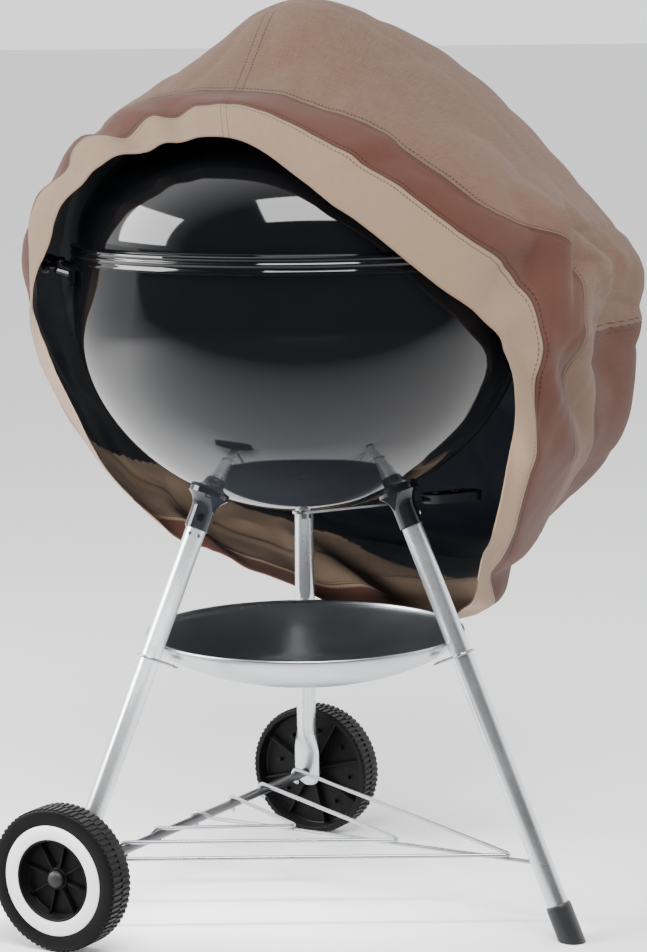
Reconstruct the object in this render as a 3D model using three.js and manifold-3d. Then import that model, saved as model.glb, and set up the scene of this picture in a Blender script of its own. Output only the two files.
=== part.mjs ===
// Kettle charcoal grill, 47 cm, on a three-legged stand with two wheels, with its fabric weather cover.
// Millimetres, +Z up, front towards -Y. Pieces are drawn about the kettle's upright axis with the floor
// at z = 0, and the last lines move the whole to its own origin.
// The wheeled legs stand front left and rear, the plain leg with its foot cap front right.
import * as THREE from 'three';
import { mergeVertices } from 'three/addons/utils/BufferGeometryUtils.js';
import Module from 'manifold-3d';

// ---------- driving dimensions ----------
const GAP = 0.3;                // clearance between pieces that touch

const BOWL_RADIUS = 239;        // outside, at its widest
const BOWL_DEPTH = 220;         // from the widest height down to the bottom
const BOWL_WIDEST_Z = 650;
const BOWL_RIM_Z = 710;
const SHEET = 1.6;              // enamelled steel sheet
const VENT_WIDTH = 15;

const LID_RADIUS = 241;         // outside of the skirt
const LID_EDGE_Z = 695.5;
const LID_SHOULDER_Z = 712.5;
const DOME_RADIUS = 234;
const DOME_HEIGHT = 140;

const LEG_ANGLES = { left: 210, rear: 90, right: 330 };   // degrees about Z from +X
const LEG_FLOOR_RADIUS = 312.5;                           // where a leg's centre line meets the floor
const LEG_TILT = 23.6;                                    // degrees from upright
const TUBE_RADIUS = 11;
const TUBE_WALL = 1.2;
const SOCKET_Z = 419;           // lower end of the leg sockets
const SOCKET_RADIUS = 12.8;
const LEG_IN_SOCKET = 25;

const AXLE_Z = 75;
const AXLE_RADIUS = 4.8;
const WHEEL_RADIUS = 75;
const WHEEL_WIDTH = 34;
const WHEEL_OFFSET = 21;        // from the leg to the middle of the wheel, along the axle

const PAN_RIM_Z = 296;
const PAN_RADIUS = 170;
const PAN_DEPTH = 46;

const SHELF_WIRE_RADIUS = 2.2;
const COOKING_GRATE_Z = 664;
const COOKING_GRATE_RADIUS = 219;
const COAL_GRATE_Z = 530;
const COAL_GRATE_RADIUS = 170;

const LEVER_ANGLE = 30;         // the sweep lever's place between the right and the rear leg
const LEVER_Z = 426;
const COVER_THICKNESS = 2.5;
const ROUND = 36;               // facets round the large turned pieces

// ---------- helpers ----------
const wasm = await Module();
wasm.setup();

const rad = THREE.MathUtils.degToRad;
const Z_AXIS = new THREE.Vector3(0, 0, 1);
const point = (x, y, z) => new THREE.Vector3(x, y, z);

// A closed three.js geometry as a solid, with shared vertices merged and faces turned outwards.
function solid(geometry, matrix) {
  let bare = new THREE.BufferGeometry();
  bare.setAttribute('position', geometry.getAttribute('position').clone());
  if (geometry.index) bare.setIndex(geometry.index.clone());
  if (matrix) bare.applyMatrix4(matrix);
  bare = mergeVertices(bare, 1e-3);
  const positions = bare.attributes.position.array;
  const corners = [];
  let volume = 0;
  const a = point(0, 0, 0), b = point(0, 0, 0), c = point(0, 0, 0);
  for (let i = 0; i < bare.index.count; i += 3) {
    const [p, q, r] = [0, 1, 2].map((k) => bare.index.getX(i + k));
    if (p === q || q === r || r === p) continue;
    corners.push(p, q, r);
    a.fromArray(positions, 3 * p);
    b.fromArray(positions, 3 * q);
    c.fromArray(positions, 3 * r);
    volume += a.dot(b.cross(c));
  }
  if (volume < 0) corners.reverse();
  return new wasm.Manifold(new wasm.Mesh({
    numProp: 3,
    vertProperties: new Float32Array(positions),
    triVerts: new Uint32Array(corners),
  }));
}

function geometryOf(manifold) {
  const mesh = manifold.getMesh();
  const geometry = new THREE.BufferGeometry();
  geometry.setAttribute('position', new THREE.BufferAttribute(new Float32Array(mesh.vertProperties), 3));
  geometry.setIndex(new THREE.BufferAttribute(new Uint32Array(mesh.triVerts), 1));
  geometry.computeVertexNormals();
  return geometry;
}

// A closed profile of [radius, z] pairs turned about Z.
function turned(profile, segments) {
  const outline = profile.map(([r, z]) => new THREE.Vector2(r, z));
  if (profile[0][0] > 0 || profile.at(-1)[0] > 0) outline.push(outline[0].clone());
  return solid(new THREE.LatheGeometry(outline, segments).rotateX(Math.PI / 2));
}

const cylinder = (radius, from, to, sides = 20, endRadius = radius) => {
  const length = from.distanceTo(to);
  const turn = new THREE.Quaternion().setFromUnitVectors(
    point(0, 1, 0), to.clone().sub(from).normalize());
  const middle = from.clone().add(to).multiplyScalar(0.5);
  return solid(
    new THREE.CylinderGeometry(endRadius, radius, length, sides),
    new THREE.Matrix4().compose(middle, turn, point(1, 1, 1)));
};

const box = (sizeX, sizeY, sizeZ, x, y, z) =>
  solid(new THREE.BoxGeometry(sizeX, sizeY, sizeZ).translate(x, y, z));

// A closed skin over a list of rings of equal count, with a fan to a point at each end.
function lofted(rings, startPoint, endPoint) {
  const count = rings[0].length;
  const vertices = [startPoint, ...rings.flat(), endPoint];
  const index = [];
  const at = (ring, i) => 1 + ring * count + (i % count);
  for (let i = 0; i < count; i++) {
    index.push(0, at(0, i + 1), at(0, i));
    index.push(vertices.length - 1, at(rings.length - 1, i), at(rings.length - 1, i + 1));
    for (let ring = 0; ring + 1 < rings.length; ring++) {
      index.push(at(ring, i), at(ring, i + 1), at(ring + 1, i));
      index.push(at(ring, i + 1), at(ring + 1, i + 1), at(ring + 1, i));
    }
  }
  return solid(new THREE.BufferGeometry().setFromPoints(vertices).setIndex(index));
}

// A round bar along a list of points.
function bar(points, radius, sides = 8) {
  const tangent = (i) => points[Math.min(i + 1, points.length - 1)].clone()
    .sub(points[Math.max(i - 1, 0)]).normalize();
  let forward = tangent(0);
  let side = Math.abs(forward.z) < 0.9 ? Z_AXIS.clone().cross(forward) : point(1, 0, 0).cross(forward);
  side.normalize();
  const rings = points.map((centre, i) => {
    const next = tangent(i);
    side.applyQuaternion(new THREE.Quaternion().setFromUnitVectors(forward, next));
    forward = next;
    const up = forward.clone().cross(side);
    return Array.from({ length: sides }, (_, k) => {
      const angle = (2 * Math.PI * k) / sides;
      return centre.clone().addScaledVector(side, radius * Math.cos(angle))
        .addScaledVector(up, radius * Math.sin(angle));
    });
  });
  return lofted(rings, points[0], points.at(-1));
}

// Points on an arc about a centre, from one direction to another at right angles to it.
const arc = (centre, across, along, radius, startDegrees, endDegrees, steps) =>
  Array.from({ length: steps + 1 }, (_, i) => {
    const angle = rad(startDegrees + ((endDegrees - startDegrees) * i) / steps);
    return centre.clone().addScaledVector(across, radius * Math.cos(angle))
      .addScaledVector(along, radius * Math.sin(angle));
  });

const joined = (parts) => parts.reduce((sum, part) => sum.add(part));

const group = new THREE.Group();

function place(name, shape, finish, parent = group) {
  const mesh = new THREE.Mesh(geometryOf(shape), finish);
  mesh.name = name;
  parent.add(mesh);
  return mesh;
}

// ---------- finishes ----------
const finish = (colour, roughness, metalness) =>
  new THREE.MeshStandardMaterial({ color: colour, roughness, metalness });

const enamel = finish(0x101216, 0.12, 0.1);
const chrome = finish(0xc4c8ca, 0.18, 1);
const aluminium = finish(0xa6abac, 0.38, 0.9);
const wire = finish(0x9a9da0, 0.35, 0.9);
const plastic = finish(0x25272a, 0.5, 0);
const whitePlastic = finish(0xe3e3e8, 0.45, 0);
const nylon = finish(0x1c1d20, 0.55, 0);
const fabric = finish(0x9b8273, 0.9, 0);

// ---------- bowl ----------
// Half of an ellipse from the bottom centre hole up to the widest height, then a nearly upright band.
function ellipseArc(radius, depth, fromRadius, steps) {
  const start = Math.asin(fromRadius / radius);
  return Array.from({ length: steps + 1 }, (_, i) => {
    const angle = start + ((Math.PI / 2 - start) * i) / steps;
    return [radius * Math.sin(angle), BOWL_WIDEST_Z - depth * Math.cos(angle)];
  });
}

const SPINDLE_HOLE = 6;
const bowlOutside = ellipseArc(BOWL_RADIUS, BOWL_DEPTH, SPINDLE_HOLE, 8);
const bowlInside = ellipseArc(BOWL_RADIUS - SHEET, BOWL_DEPTH - SHEET, SPINDLE_HOLE, 8).reverse();
const rolledRim = [
  [BOWL_RADIUS - 1.4, 701], [BOWL_RADIUS - 0.4, 706], [BOWL_RADIUS - 3, BOWL_RIM_Z],
  [BOWL_RADIUS - 5.6, 706], [BOWL_RADIUS - 3.2, 701],
];
let bowl = turned([...bowlOutside, ...rolledRim, ...bowlInside], ROUND);

// Three slots in the bottom let ash fall and air rise. The blades of the sweeper pass over them.
for (let k = 0; k < 3; k++) {
  const slot = new THREE.Shape();
  slot.absarc(78, 0, VENT_WIDTH / 2, -Math.PI / 2, Math.PI / 2);
  slot.absarc(42, 0, VENT_WIDTH / 2, Math.PI / 2, (3 * Math.PI) / 2);
  const cutter = new THREE.ExtrudeGeometry(slot, { depth: 60, bevelEnabled: false, curveSegments: 6 });
  cutter.translate(0, 0, 410).rotateZ(rad(LEVER_ANGLE + 60 + 120 * k));
  bowl = bowl.subtract(solid(cutter));
}
place('bowl', bowl, enamel);

// The space that the bowl and its clearance fill, for cutting the pieces that meet its outside.
const bowlEnvelope = turned([
  [0, BOWL_WIDEST_Z - BOWL_DEPTH - GAP],
  ...ellipseArc(BOWL_RADIUS + GAP, BOWL_DEPTH + GAP, SPINDLE_HOLE, 8),
  [BOWL_RADIUS + GAP, BOWL_RIM_Z], [0, BOWL_RIM_Z],
], ROUND);

// ---------- lid ----------
const domeArc = (radius, height, steps) =>
  Array.from({ length: steps + 1 }, (_, i) => {
    const angle = (Math.PI / 2) * (i / steps);
    return [radius * Math.cos(angle), LID_SHOULDER_Z + 3 + height * Math.sin(angle)];
  });

const LID_VENT_RADIUS = 118;
const LID_VENT_ANGLE = 100;
let lid = turned([
  [LID_RADIUS - SHEET, LID_EDGE_Z], [LID_RADIUS, LID_EDGE_Z],
  [LID_RADIUS, LID_SHOULDER_Z - 3], [LID_RADIUS - 1.5, LID_SHOULDER_Z + 0.5],
  [DOME_RADIUS + 1, LID_SHOULDER_Z + 1.2],
  ...domeArc(DOME_RADIUS, DOME_HEIGHT, 7).slice(0, -1),
  [0, LID_SHOULDER_Z + 3 + DOME_HEIGHT],
  [0, LID_SHOULDER_Z + 3 + DOME_HEIGHT - SHEET],
  ...domeArc(DOME_RADIUS - SHEET, DOME_HEIGHT - SHEET, 7).reverse().slice(1),
  [DOME_RADIUS - SHEET, LID_SHOULDER_Z - 1.2],
  [LID_RADIUS - SHEET - 0.6, LID_SHOULDER_Z - 1.5],
], ROUND);

// The damper lies on a dished seat on the dome, square to the surface there.
const domeHeightAt = (r) => LID_SHOULDER_Z + 3 + DOME_HEIGHT * Math.sqrt(1 - (r / DOME_RADIUS) ** 2);
const ventCentre = point(
  LID_VENT_RADIUS * Math.cos(rad(LID_VENT_ANGLE)),
  LID_VENT_RADIUS * Math.sin(rad(LID_VENT_ANGLE)),
  domeHeightAt(LID_VENT_RADIUS));
const ventNormal = point(
  ventCentre.x / DOME_RADIUS ** 2, ventCentre.y / DOME_RADIUS ** 2,
  (ventCentre.z - LID_SHOULDER_Z - 3) / DOME_HEIGHT ** 2).normalize();
const ventGroup = new THREE.Group();
ventGroup.position.copy(ventCentre);
ventGroup.quaternion.setFromUnitVectors(Z_AXIS, ventNormal);
ventGroup.updateMatrix();
group.add(ventGroup);

const inVent = (manifold) => solid(geometryOf(manifold), ventGroup.matrix);
const VENT_HOLES = 3;
const ventHole = (k, radius, low, high) => {
  const angle = rad((360 / VENT_HOLES) * k + 30);
  const x = 17 * Math.cos(angle), y = 17 * Math.sin(angle);
  return cylinder(radius, point(x, y, low), point(x, y, high), 10);
};
const seatPad = cylinder(33, point(0, 0, -8), point(0, 0, 2.2), 20);
lid = lid.add(inVent(seatPad)).subtract(inVent(cylinder(30, point(0, 0, -20), point(0, 0, -SHEET), 20)));
lid = lid.subtract(inVent(cylinder(2.6, point(0, 0, -20), point(0, 0, 20), 12)));
for (let k = 0; k < VENT_HOLES; k++) lid = lid.subtract(inVent(ventHole(k, 7.5, -20, 20)));
place('lid', lid, enamel);

// Turning disc with matching holes and a turned-up tab, held by a rivet.
let damper = cylinder(31, point(0, 0, 2.5), point(0, 0, 4), 24);
damper = damper.add(box(12, 13, 1.5, 0, 35, 3.25)).add(box(12, 1.5, 12, 0, 41, 8.5));
for (let k = 0; k < VENT_HOLES; k++) damper = damper.subtract(ventHole(k, 7.5, 0, 8));
damper = damper.subtract(cylinder(3, point(0, 0, 0), point(0, 0, 8), 12));
place('lid_damper', damper, aluminium, ventGroup);
place('damper_rivet', cylinder(2.3, point(0, 0, -3), point(0, 0, 4.6), 12)
  .add(cylinder(6, point(0, 0, 4.3), point(0, 0, 6.3), 16, 4)), aluminium, ventGroup);

// ---------- handles ----------
// Each handle is a moulded grip on a bent steel rod, which is bolted to the sheet.
function handleRod(halfWidth, reach, rise, radius) {
  const bend = 12;
  const half = [point(0, -halfWidth, 0), point(reach * 0.5, -halfWidth, rise * 0.55)];
  const corner = arc(
    point(reach - bend, -halfWidth + bend, rise), point(0, -1, 0), point(1, 0, 0), bend, 0, 90, 4);
  const oneSide = [...half, ...corner];
  const otherSide = oneSide.map((p) => point(p.x, -p.y, p.z)).reverse();
  return bar([...oneSide, ...otherSide], radius, 8);
}

function grip(halfLength, radius, bore) {
  const shape = turned([
    [bore, -halfLength], [radius - 2, -halfLength], [radius - 0.5, -halfLength + 3],
    [radius, 0],
    [radius - 0.5, halfLength - 3], [radius - 2, halfLength], [bore, halfLength],
  ], 14);
  return solid(geometryOf(shape), new THREE.Matrix4().makeRotationX(Math.PI / 2));
}

const HANDLE_ROD_RADIUS = 3.5;
for (const [side, angle] of [['right', 0], ['left', 180]]) {
  const handle = new THREE.Group();
  handle.position.set(0, 0, 684);
  handle.rotation.z = rad(angle);
  group.add(handle);
  const rod = handleRod(50, 27, 8, HANDLE_ROD_RADIUS);
  const foot = (y) => box(3, 16, 16, 237.6, y, -4);
  let bracket = solid(geometryOf(rod), new THREE.Matrix4().makeTranslation(238, 0, 0));
  bracket = bracket.add(foot(50)).add(foot(-50));
  const cutter = solid(geometryOf(bowlEnvelope), new THREE.Matrix4().makeTranslation(0, 0, -684));
  bracket = bracket.subtract(cutter);
  place(`bowl_handle_rod_${side}`, bracket, enamel, handle);
  place(`bowl_handle_grip_${side}`, solid(
    geometryOf(grip(33, 8.5, HANDLE_ROD_RADIUS + GAP)),
    new THREE.Matrix4().makeTranslation(265, 0, 8)), nylon, handle);
}

const domeEnvelope = turned([
  [0, 600], [DOME_RADIUS - 30, 600],
  ...domeArc(DOME_RADIUS + GAP, DOME_HEIGHT + GAP, 7).slice(2, -1),
  [0, LID_SHOULDER_Z + 3 + DOME_HEIGHT + GAP],
], ROUND);

// The lid's handle stands up from the middle of the dome, its grip across the grill.
const LID_HANDLE_Z = 851;
const lidHandleFrame = new THREE.Matrix4()
  .makeBasis(point(0, 0, 1), point(1, 0, 0), point(0, 1, 0)).setPosition(0, 0, LID_HANDLE_Z);
const lidRod = solid(geometryOf(handleRod(46, 29, 0, HANDLE_ROD_RADIUS)), lidHandleFrame)
  .add(cylinder(9, point(46, 0, 848), point(46, 0, 857), 16))
  .add(cylinder(9, point(-46, 0, 848), point(-46, 0, 857), 16))
  .subtract(domeEnvelope);
const lidGrip = solid(geometryOf(grip(30, 8.5, HANDLE_ROD_RADIUS + GAP)), new THREE.Matrix4()
  .makeTranslation(29, 0, 0).premultiply(lidHandleFrame));

// The rod's two feet are one piece only where the rod joins them above the dome.
place('lid_handle_rod', lidRod, chrome);
place('lid_handle_grip', lidGrip, nylon);

// ---------- legs and their sockets ----------
const tiltTan = Math.tan(rad(LEG_TILT));
const tiltCos = Math.cos(rad(LEG_TILT));
const legRadiusAt = (z) => LEG_FLOOR_RADIUS - tiltTan * z;
const alongLeg = (z) => z / tiltCos;

// A leg's own frame: origin on the floor, +Z up its centre line, +X outwards.
function legFrame(angle) {
  const turn = new THREE.Quaternion().setFromAxisAngle(Z_AXIS, rad(angle))
    .multiply(new THREE.Quaternion().setFromAxisAngle(point(0, 1, 0), rad(-LEG_TILT)));
  const foot = point(LEG_FLOOR_RADIUS * Math.cos(rad(angle)), LEG_FLOOR_RADIUS * Math.sin(rad(angle)), 0);
  return new THREE.Matrix4().compose(foot, turn, point(1, 1, 1));
}

const legPoint = (angle, z) =>
  point(legRadiusAt(z) * Math.cos(rad(angle)), legRadiusAt(z) * Math.sin(rad(angle)), z);

const axleLeft = legPoint(LEG_ANGLES.left, AXLE_Z);
const axleRear = legPoint(LEG_ANGLES.rear, AXLE_Z);
const axleLine = axleRear.clone().sub(axleLeft).normalize();

const socketFoot = alongLeg(SOCKET_Z);
const legTop = socketFoot + LEG_IN_SOCKET;
const BUTTON_UP = 12;           // spring button above the lower end of the socket
const BUTTON_RADIUS = 3.2;
const BUTTON_ANGLE = 62;        // about the leg from its outward side
const buttonWay = point(Math.cos(rad(BUTTON_ANGLE)), Math.sin(rad(BUTTON_ANGLE)), 0);
const buttonBore = (radius, from, to) => cylinder(
  radius,
  buttonWay.clone().multiplyScalar(from).setZ(socketFoot + BUTTON_UP),
  buttonWay.clone().multiplyScalar(to).setZ(socketFoot + BUTTON_UP), 10);

// Flat end of a wheeled leg: the tube is squeezed flat and rounded, with the axle hole through it.
const FLAT_FROM = 148, FLAT_TO = 92;            // along the leg
const PADDLE_END = alongLeg(AXLE_Z) - 17;
const PADDLE_HALF_WIDTH = 17;
const PADDLE_HALF_THICKNESS = 2.8;
function squeezedTube(thinAngle) {
  const thin = point(Math.cos(rad(thinAngle)), Math.sin(rad(thinAngle)), 0);
  const wide = point(-thin.y, thin.x, 0);
  const heights = [0, 2, 7, 15, 27, 40, 53, 67, 84].map((h) => PADDLE_END + h).concat(legTop);
  const rings = heights.map((s) => {
    const flat = 1 - THREE.MathUtils.smoothstep(s, FLAT_TO, FLAT_FROM);
    const fromEnd = Math.min((s - PADDLE_END) / 16, 1);
    const rounding = 0.3 + 0.7 * Math.sqrt(1 - (1 - fromEnd) ** 2);
    const halfWidth = THREE.MathUtils.lerp(TUBE_RADIUS, PADDLE_HALF_WIDTH, flat) * rounding;
    const halfThickness = THREE.MathUtils.lerp(TUBE_RADIUS, PADDLE_HALF_THICKNESS, flat);
    return Array.from({ length: 16 }, (_, k) => {
      const angle = (2 * Math.PI * k) / 16;
      return point(0, 0, s).addScaledVector(wide, halfWidth * Math.cos(angle))
        .addScaledVector(thin, halfThickness * Math.sin(angle));
    });
  });
  return lofted(rings, point(0, 0, heights[0]), point(0, 0, legTop));
}

const thinAngles = { left: 32.2, rear: -32.2 };
const axleHole = cylinder(
  AXLE_RADIUS + 0.6,
  axleLeft.clone().addScaledVector(axleLine, -60),
  axleRear.clone().addScaledVector(axleLine, 60), 20);

for (const [name, angle] of Object.entries(LEG_ANGLES)) {
  const frame = legFrame(angle);
  const wheeled = name in thinAngles;

  // Enamelled sleeve, flared where it is welded to the bowl.
  let socket = turned([
    [TUBE_RADIUS + GAP, socketFoot], [SOCKET_RADIUS, socketFoot], [SOCKET_RADIUS, socketFoot + 22],
    [14, socketFoot + 29], [18, socketFoot + 34], [22, socketFoot + 37], [22, socketFoot + 50],
    [0, socketFoot + 50], [0, legTop + 1], [TUBE_RADIUS + GAP, legTop + 1],
  ], 20);
  socket = socket.subtract(buttonBore(BUTTON_RADIUS + GAP, 5, 20));
  socket = solid(geometryOf(socket), frame).subtract(bowlEnvelope);
  place(`leg_socket_${name}`, socket, enamel);

  // Chromed tube with the button hole and the two punched holes under the socket.
  const boreFrom = wheeled ? FLAT_FROM + 2 : -10;
  let leg = wheeled
    ? squeezedTube(thinAngles[name])
    : cylinder(TUBE_RADIUS, point(0, 0, 16), point(0, 0, legTop), 16);
  leg = leg.subtract(cylinder(TUBE_RADIUS - TUBE_WALL, point(0, 0, boreFrom), point(0, 0, legTop + 10), 16));
  leg = leg.subtract(buttonBore(BUTTON_RADIUS + GAP, 5, 20));
  for (const turn of [-28, 28]) {
    const way = buttonWay.clone().applyAxisAngle(Z_AXIS, rad(turn));
    leg = leg.subtract(cylinder(
      2, way.clone().multiplyScalar(7).setZ(socketFoot - 6),
      way.clone().multiplyScalar(16).setZ(socketFoot - 6), 8));
  }
  leg = solid(geometryOf(leg), frame);
  if (wheeled) leg = leg.subtract(axleHole);
  place(`leg_${name}`, leg, chrome);

  place(`leg_button_${name}`, solid(geometryOf(buttonBore(BUTTON_RADIUS, 5, 14.6)), frame), chrome);
}

// Moulded cap on the plain leg's end, cut level with the floor.
const CAP_RADIUS = 13.4;
const CAP_TOP = 40;
const footFrame = legFrame(LEG_ANGLES.right);
const capBody = cylinder(CAP_RADIUS, point(0, 0, -20), point(0, 0, CAP_TOP), 24)
  .subtract(cylinder(TUBE_RADIUS + GAP, point(0, 0, 15.6), point(0, 0, CAP_TOP + 5), 24));
place('foot_cap', solid(geometryOf(capBody), footFrame)
  .subtract(box(100, 100, 60, footFrame.elements[12], footFrame.elements[13], -30)), nylon);

// ---------- axle and wheels ----------
const AXLE_OVERHANG = WHEEL_OFFSET + 12;
place('axle', cylinder(
  AXLE_RADIUS,
  axleLeft.clone().addScaledVector(axleLine, -AXLE_OVERHANG),
  axleRear.clone().addScaledVector(axleLine, AXLE_OVERHANG), 16), wire);

// In a wheel's own frame the outer face looks along +Z.
const HALF_WIDTH = WHEEL_WIDTH / 2;
const RING_OUTER = 57.4, RING_INNER = 43;
const WHEEL_BORE = AXLE_RADIUS + 0.4;
const SPOKES = 8;
const WHEEL_ROUND = 28;
const wheelProfile = [
  [WHEEL_BORE, -12], [13, -12], [14, -2], [66, -2], [68, -HALF_WIDTH],
  [73, -HALF_WIDTH], [WHEEL_RADIUS, 3 - HALF_WIDTH],
  [WHEEL_RADIUS, HALF_WIDTH - 3], [73, HALF_WIDTH], [RING_OUTER + GAP, HALF_WIDTH],
  [RING_OUTER + GAP, HALF_WIDTH - 2], [RING_INNER - GAP, HALF_WIDTH - 2], [RING_INNER - GAP, HALF_WIDTH],
  [41, HALF_WIDTH], [38.5, 3], [12.5, 3], [11.5, 8], [WHEEL_BORE, 8],
];

function wheelBody() {
  let body = turned(wheelProfile, WHEEL_ROUND);
  for (let k = 0; k < SPOKES; k++) {
    const spin = new THREE.Matrix4().makeRotationZ((2 * Math.PI * k) / SPOKES);
    body = body.add(solid(geometryOf(box(27.4, 2.6, 6, 25.5, 0, 5.5)), spin));
  }
  return body;
}

const wheels = [
  ['left', axleLeft, axleLine.clone().negate()],
  ['rear', axleRear, axleLine],
];
for (const [name, legEnd, outward] of wheels) {
  const wheel = new THREE.Group();
  wheel.position.copy(legEnd).addScaledVector(outward, WHEEL_OFFSET);
  wheel.quaternion.setFromUnitVectors(Z_AXIS, outward);
  group.add(wheel);
  place(`wheel_${name}`, wheelBody(), plastic, wheel);
  place(`wheel_ring_${name}`, turned([
    [RING_INNER, HALF_WIDTH - 1.7], [RING_OUTER, HALF_WIDTH - 1.7],
    [RING_OUTER, HALF_WIDTH + 0.3], [RING_INNER, HALF_WIDTH + 0.3],
  ], WHEEL_ROUND), whitePlastic, wheel);
  place(`axle_cap_${name}`, turned([
    [0, 12.4], [AXLE_RADIUS + 0.3, 12.4], [AXLE_RADIUS + 0.3, 8.4], [9, 8.4], [9, 12], [6.5, 14.6], [0, 15.4],
  ], 16), nylon, wheel);
}

// ---------- ash pan ----------
const panFloor = PAN_RIM_Z - PAN_DEPTH;
place('ash_pan', turned([
  [0, panFloor], [52, panFloor], [75, panFloor + 2], [105, panFloor + 9], [132, panFloor + 19],
  [154, panFloor + 31], [165, panFloor + 41], [PAN_RADIUS, PAN_RIM_Z], [PAN_RADIUS - 2, PAN_RIM_Z + 3.6],
  [PAN_RADIUS - 5.4, PAN_RIM_Z + 1.6], [162.5, panFloor + 41], [151.6, panFloor + 32.4],
  [130.6, panFloor + 20.6], [104.4, panFloor + 10.8], [74.6, panFloor + 3.8], [0, panFloor + 1.7],
], ROUND), aluminium);

// A sprung wire passes round each leg and carries the pan on a small plate under its slope.
for (const [name, angle] of Object.entries(LEG_ANGLES)) {
  const CLIP_RADIUS = 1.6;
  const around = TUBE_RADIUS + CLIP_RADIUS + GAP;
  const level = alongLeg(PAN_RIM_Z - 7);
  const loop = arc(point(0, 0, level), point(1, 0, 0), point(0, 1, 0), around, -90, 90, 7);
  const inward = 26;
  const path = [point(-inward, -around + 4, level), point(-8, -around, level), ...loop,
    point(-8, around, level), point(-inward, around - 4, level)];
  const clip = bar(path, CLIP_RADIUS, 6).add(box(9, 2 * around - 3, 2.2, -inward + 1, 0, level));
  place(`pan_clip_${name}`, solid(geometryOf(clip), legFrame(angle)), wire);
}

// ---------- wire shelf ----------
// Three bent wires lie on the axle and hook round it. A straight one joins their points to the plain leg.
const SHELF_Z = AXLE_Z + AXLE_RADIUS + SHELF_WIRE_RADIUS + GAP;
const shelfMiddle = axleLeft.clone().lerp(axleRear, 0.5);
const legRight = legPoint(LEG_ANGLES.right, AXLE_Z);

function hook(axlePoint, towards, level) {
  const inwardWay = towards.clone().sub(axlePoint).setZ(0).normalize();
  const stretch = 1 / inwardWay.clone().cross(axleLine).length();
  const centre = axlePoint.clone().setZ(AXLE_Z);
  return arc(centre, inwardWay.multiplyScalar(-stretch), Z_AXIS, level - AXLE_Z, -100, 90, 6);
}

function bentWire(fromMiddle, reach) {
  const tip = shelfMiddle.clone().lerp(legRight, reach).setZ(SHELF_Z);
  const ends = [-1, 1].map((side) => shelfMiddle.clone()
    .addScaledVector(axleLine, side * fromMiddle).setZ(SHELF_Z));
  const nearTip = ends.map((end) => tip.clone().lerp(end, 9 / tip.distanceTo(end)));
  const corner = new THREE.QuadraticBezierCurve3(nearTip[0], tip, nearTip[1]);
  const bend = [0.25, 0.5, 0.75].map((t) => corner.getPoint(t));
  return bar([
    ...hook(ends[0], tip, SHELF_Z), nearTip[0], ...bend, nearTip[1], ...hook(ends[1], tip, SHELF_Z).reverse(),
  ], SHELF_WIRE_RADIUS, 6);
}

const halfAxle = axleLeft.distanceTo(axleRear) / 2;
place('shelf_wire_outer', bentWire(0.9 * halfAxle, 0.915), wire);
place('shelf_wire_middle', bentWire(0.585 * halfAxle, 0.6), wire);
place('shelf_wire_inner', bentWire(0.315 * halfAxle, 0.3), wire);

const underLevel = SHELF_Z - 2 * SHELF_WIRE_RADIUS - GAP;
const tieEnd = legPoint(LEG_ANGLES.right, underLevel);
const tieWay = tieEnd.clone().sub(shelfMiddle).setZ(0).normalize();
const tieStart = shelfMiddle.clone().setZ(SHELF_Z);
place('shelf_wire_centre', bar([
  ...hook(tieStart, tieEnd, SHELF_Z),
  tieStart.clone().addScaledVector(tieWay, 5),
  tieStart.clone().addScaledVector(tieWay, 22).setZ(underLevel),
  tieEnd.clone().addScaledVector(tieWay, -TUBE_RADIUS / tiltCos - 1),
], SHELF_WIRE_RADIUS, 6), wire);

// ---------- grates ----------
// A wire ring with parallel rods across it and two stiffening rods beneath them.
function grate(radius, ringWire, rodWire, pitch, z) {
  const ringPoints = 28;
  const rings = Array.from({ length: 5 }, (_, k) => {
    const angle = (2 * Math.PI * k) / 5;
    return [radius + ringWire * Math.cos(angle), z + ringWire * Math.sin(angle)];
  });
  let body = turned(rings, ringPoints);
  const rods = Math.floor(radius / pitch);
  for (let k = -rods; k <= rods; k++) {
    const y = k * pitch;
    const half = Math.sqrt(Math.max(radius ** 2 - y ** 2, 0)) - 0.5;
    if (half < 20) continue;
    body = body.add(cylinder(rodWire, point(-half, y, z), point(half, y, z), 4));
  }
  for (const x of [-0.45 * radius, 0.45 * radius]) {
    const half = Math.sqrt(radius ** 2 - x ** 2) - 0.5;
    body = body.add(cylinder(ringWire, point(x, -half, z - rodWire), point(x, half, z - rodWire), 6));
  }
  return body;
}
place('cooking_grate', grate(COOKING_GRATE_RADIUS - 2.5, 2.5, 1.8, 36, COOKING_GRATE_Z), wire);
place('charcoal_grate', grate(COAL_GRATE_RADIUS - 3, 3, 2.6, 42, COAL_GRATE_Z), wire);

// Bent tabs inside the bowl carry the grates. Each is trimmed to the wall it is welded to.
const bowlCavity = turned([
  [0, BOWL_WIDEST_Z - BOWL_DEPTH + SHEET + GAP],
  ...ellipseArc(BOWL_RADIUS - SHEET - GAP, BOWL_DEPTH - SHEET - GAP, SPINDLE_HOLE, 8),
  [0, BOWL_WIDEST_Z],
], ROUND).add(turned([
  [0, BOWL_WIDEST_Z - 1], [BOWL_RADIUS - SHEET - 2 * GAP, BOWL_WIDEST_Z - 1],
  [BOWL_RADIUS - SHEET - 3.2, 695], [0, 695],
], ROUND));
function rest(name, angle, radius, grateBottom, reach) {
  const tab = box(reach + 30, 16, 2, radius + reach / 2 + 9, 0, grateBottom - 1.3)
    .add(box(3, 16, 14, radius + reach, 0, grateBottom - 6));
  const turn = new THREE.Matrix4().makeRotationZ(rad(angle));
  place(name, solid(geometryOf(tab), turn).intersect(bowlCavity), wire);
}
for (let k = 0; k < 4; k++)
  rest(`cooking_grate_rest_${k + 1}`, 45 + 90 * k, COOKING_GRATE_RADIUS - 10, COOKING_GRATE_Z - 4.3, 22);
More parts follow.
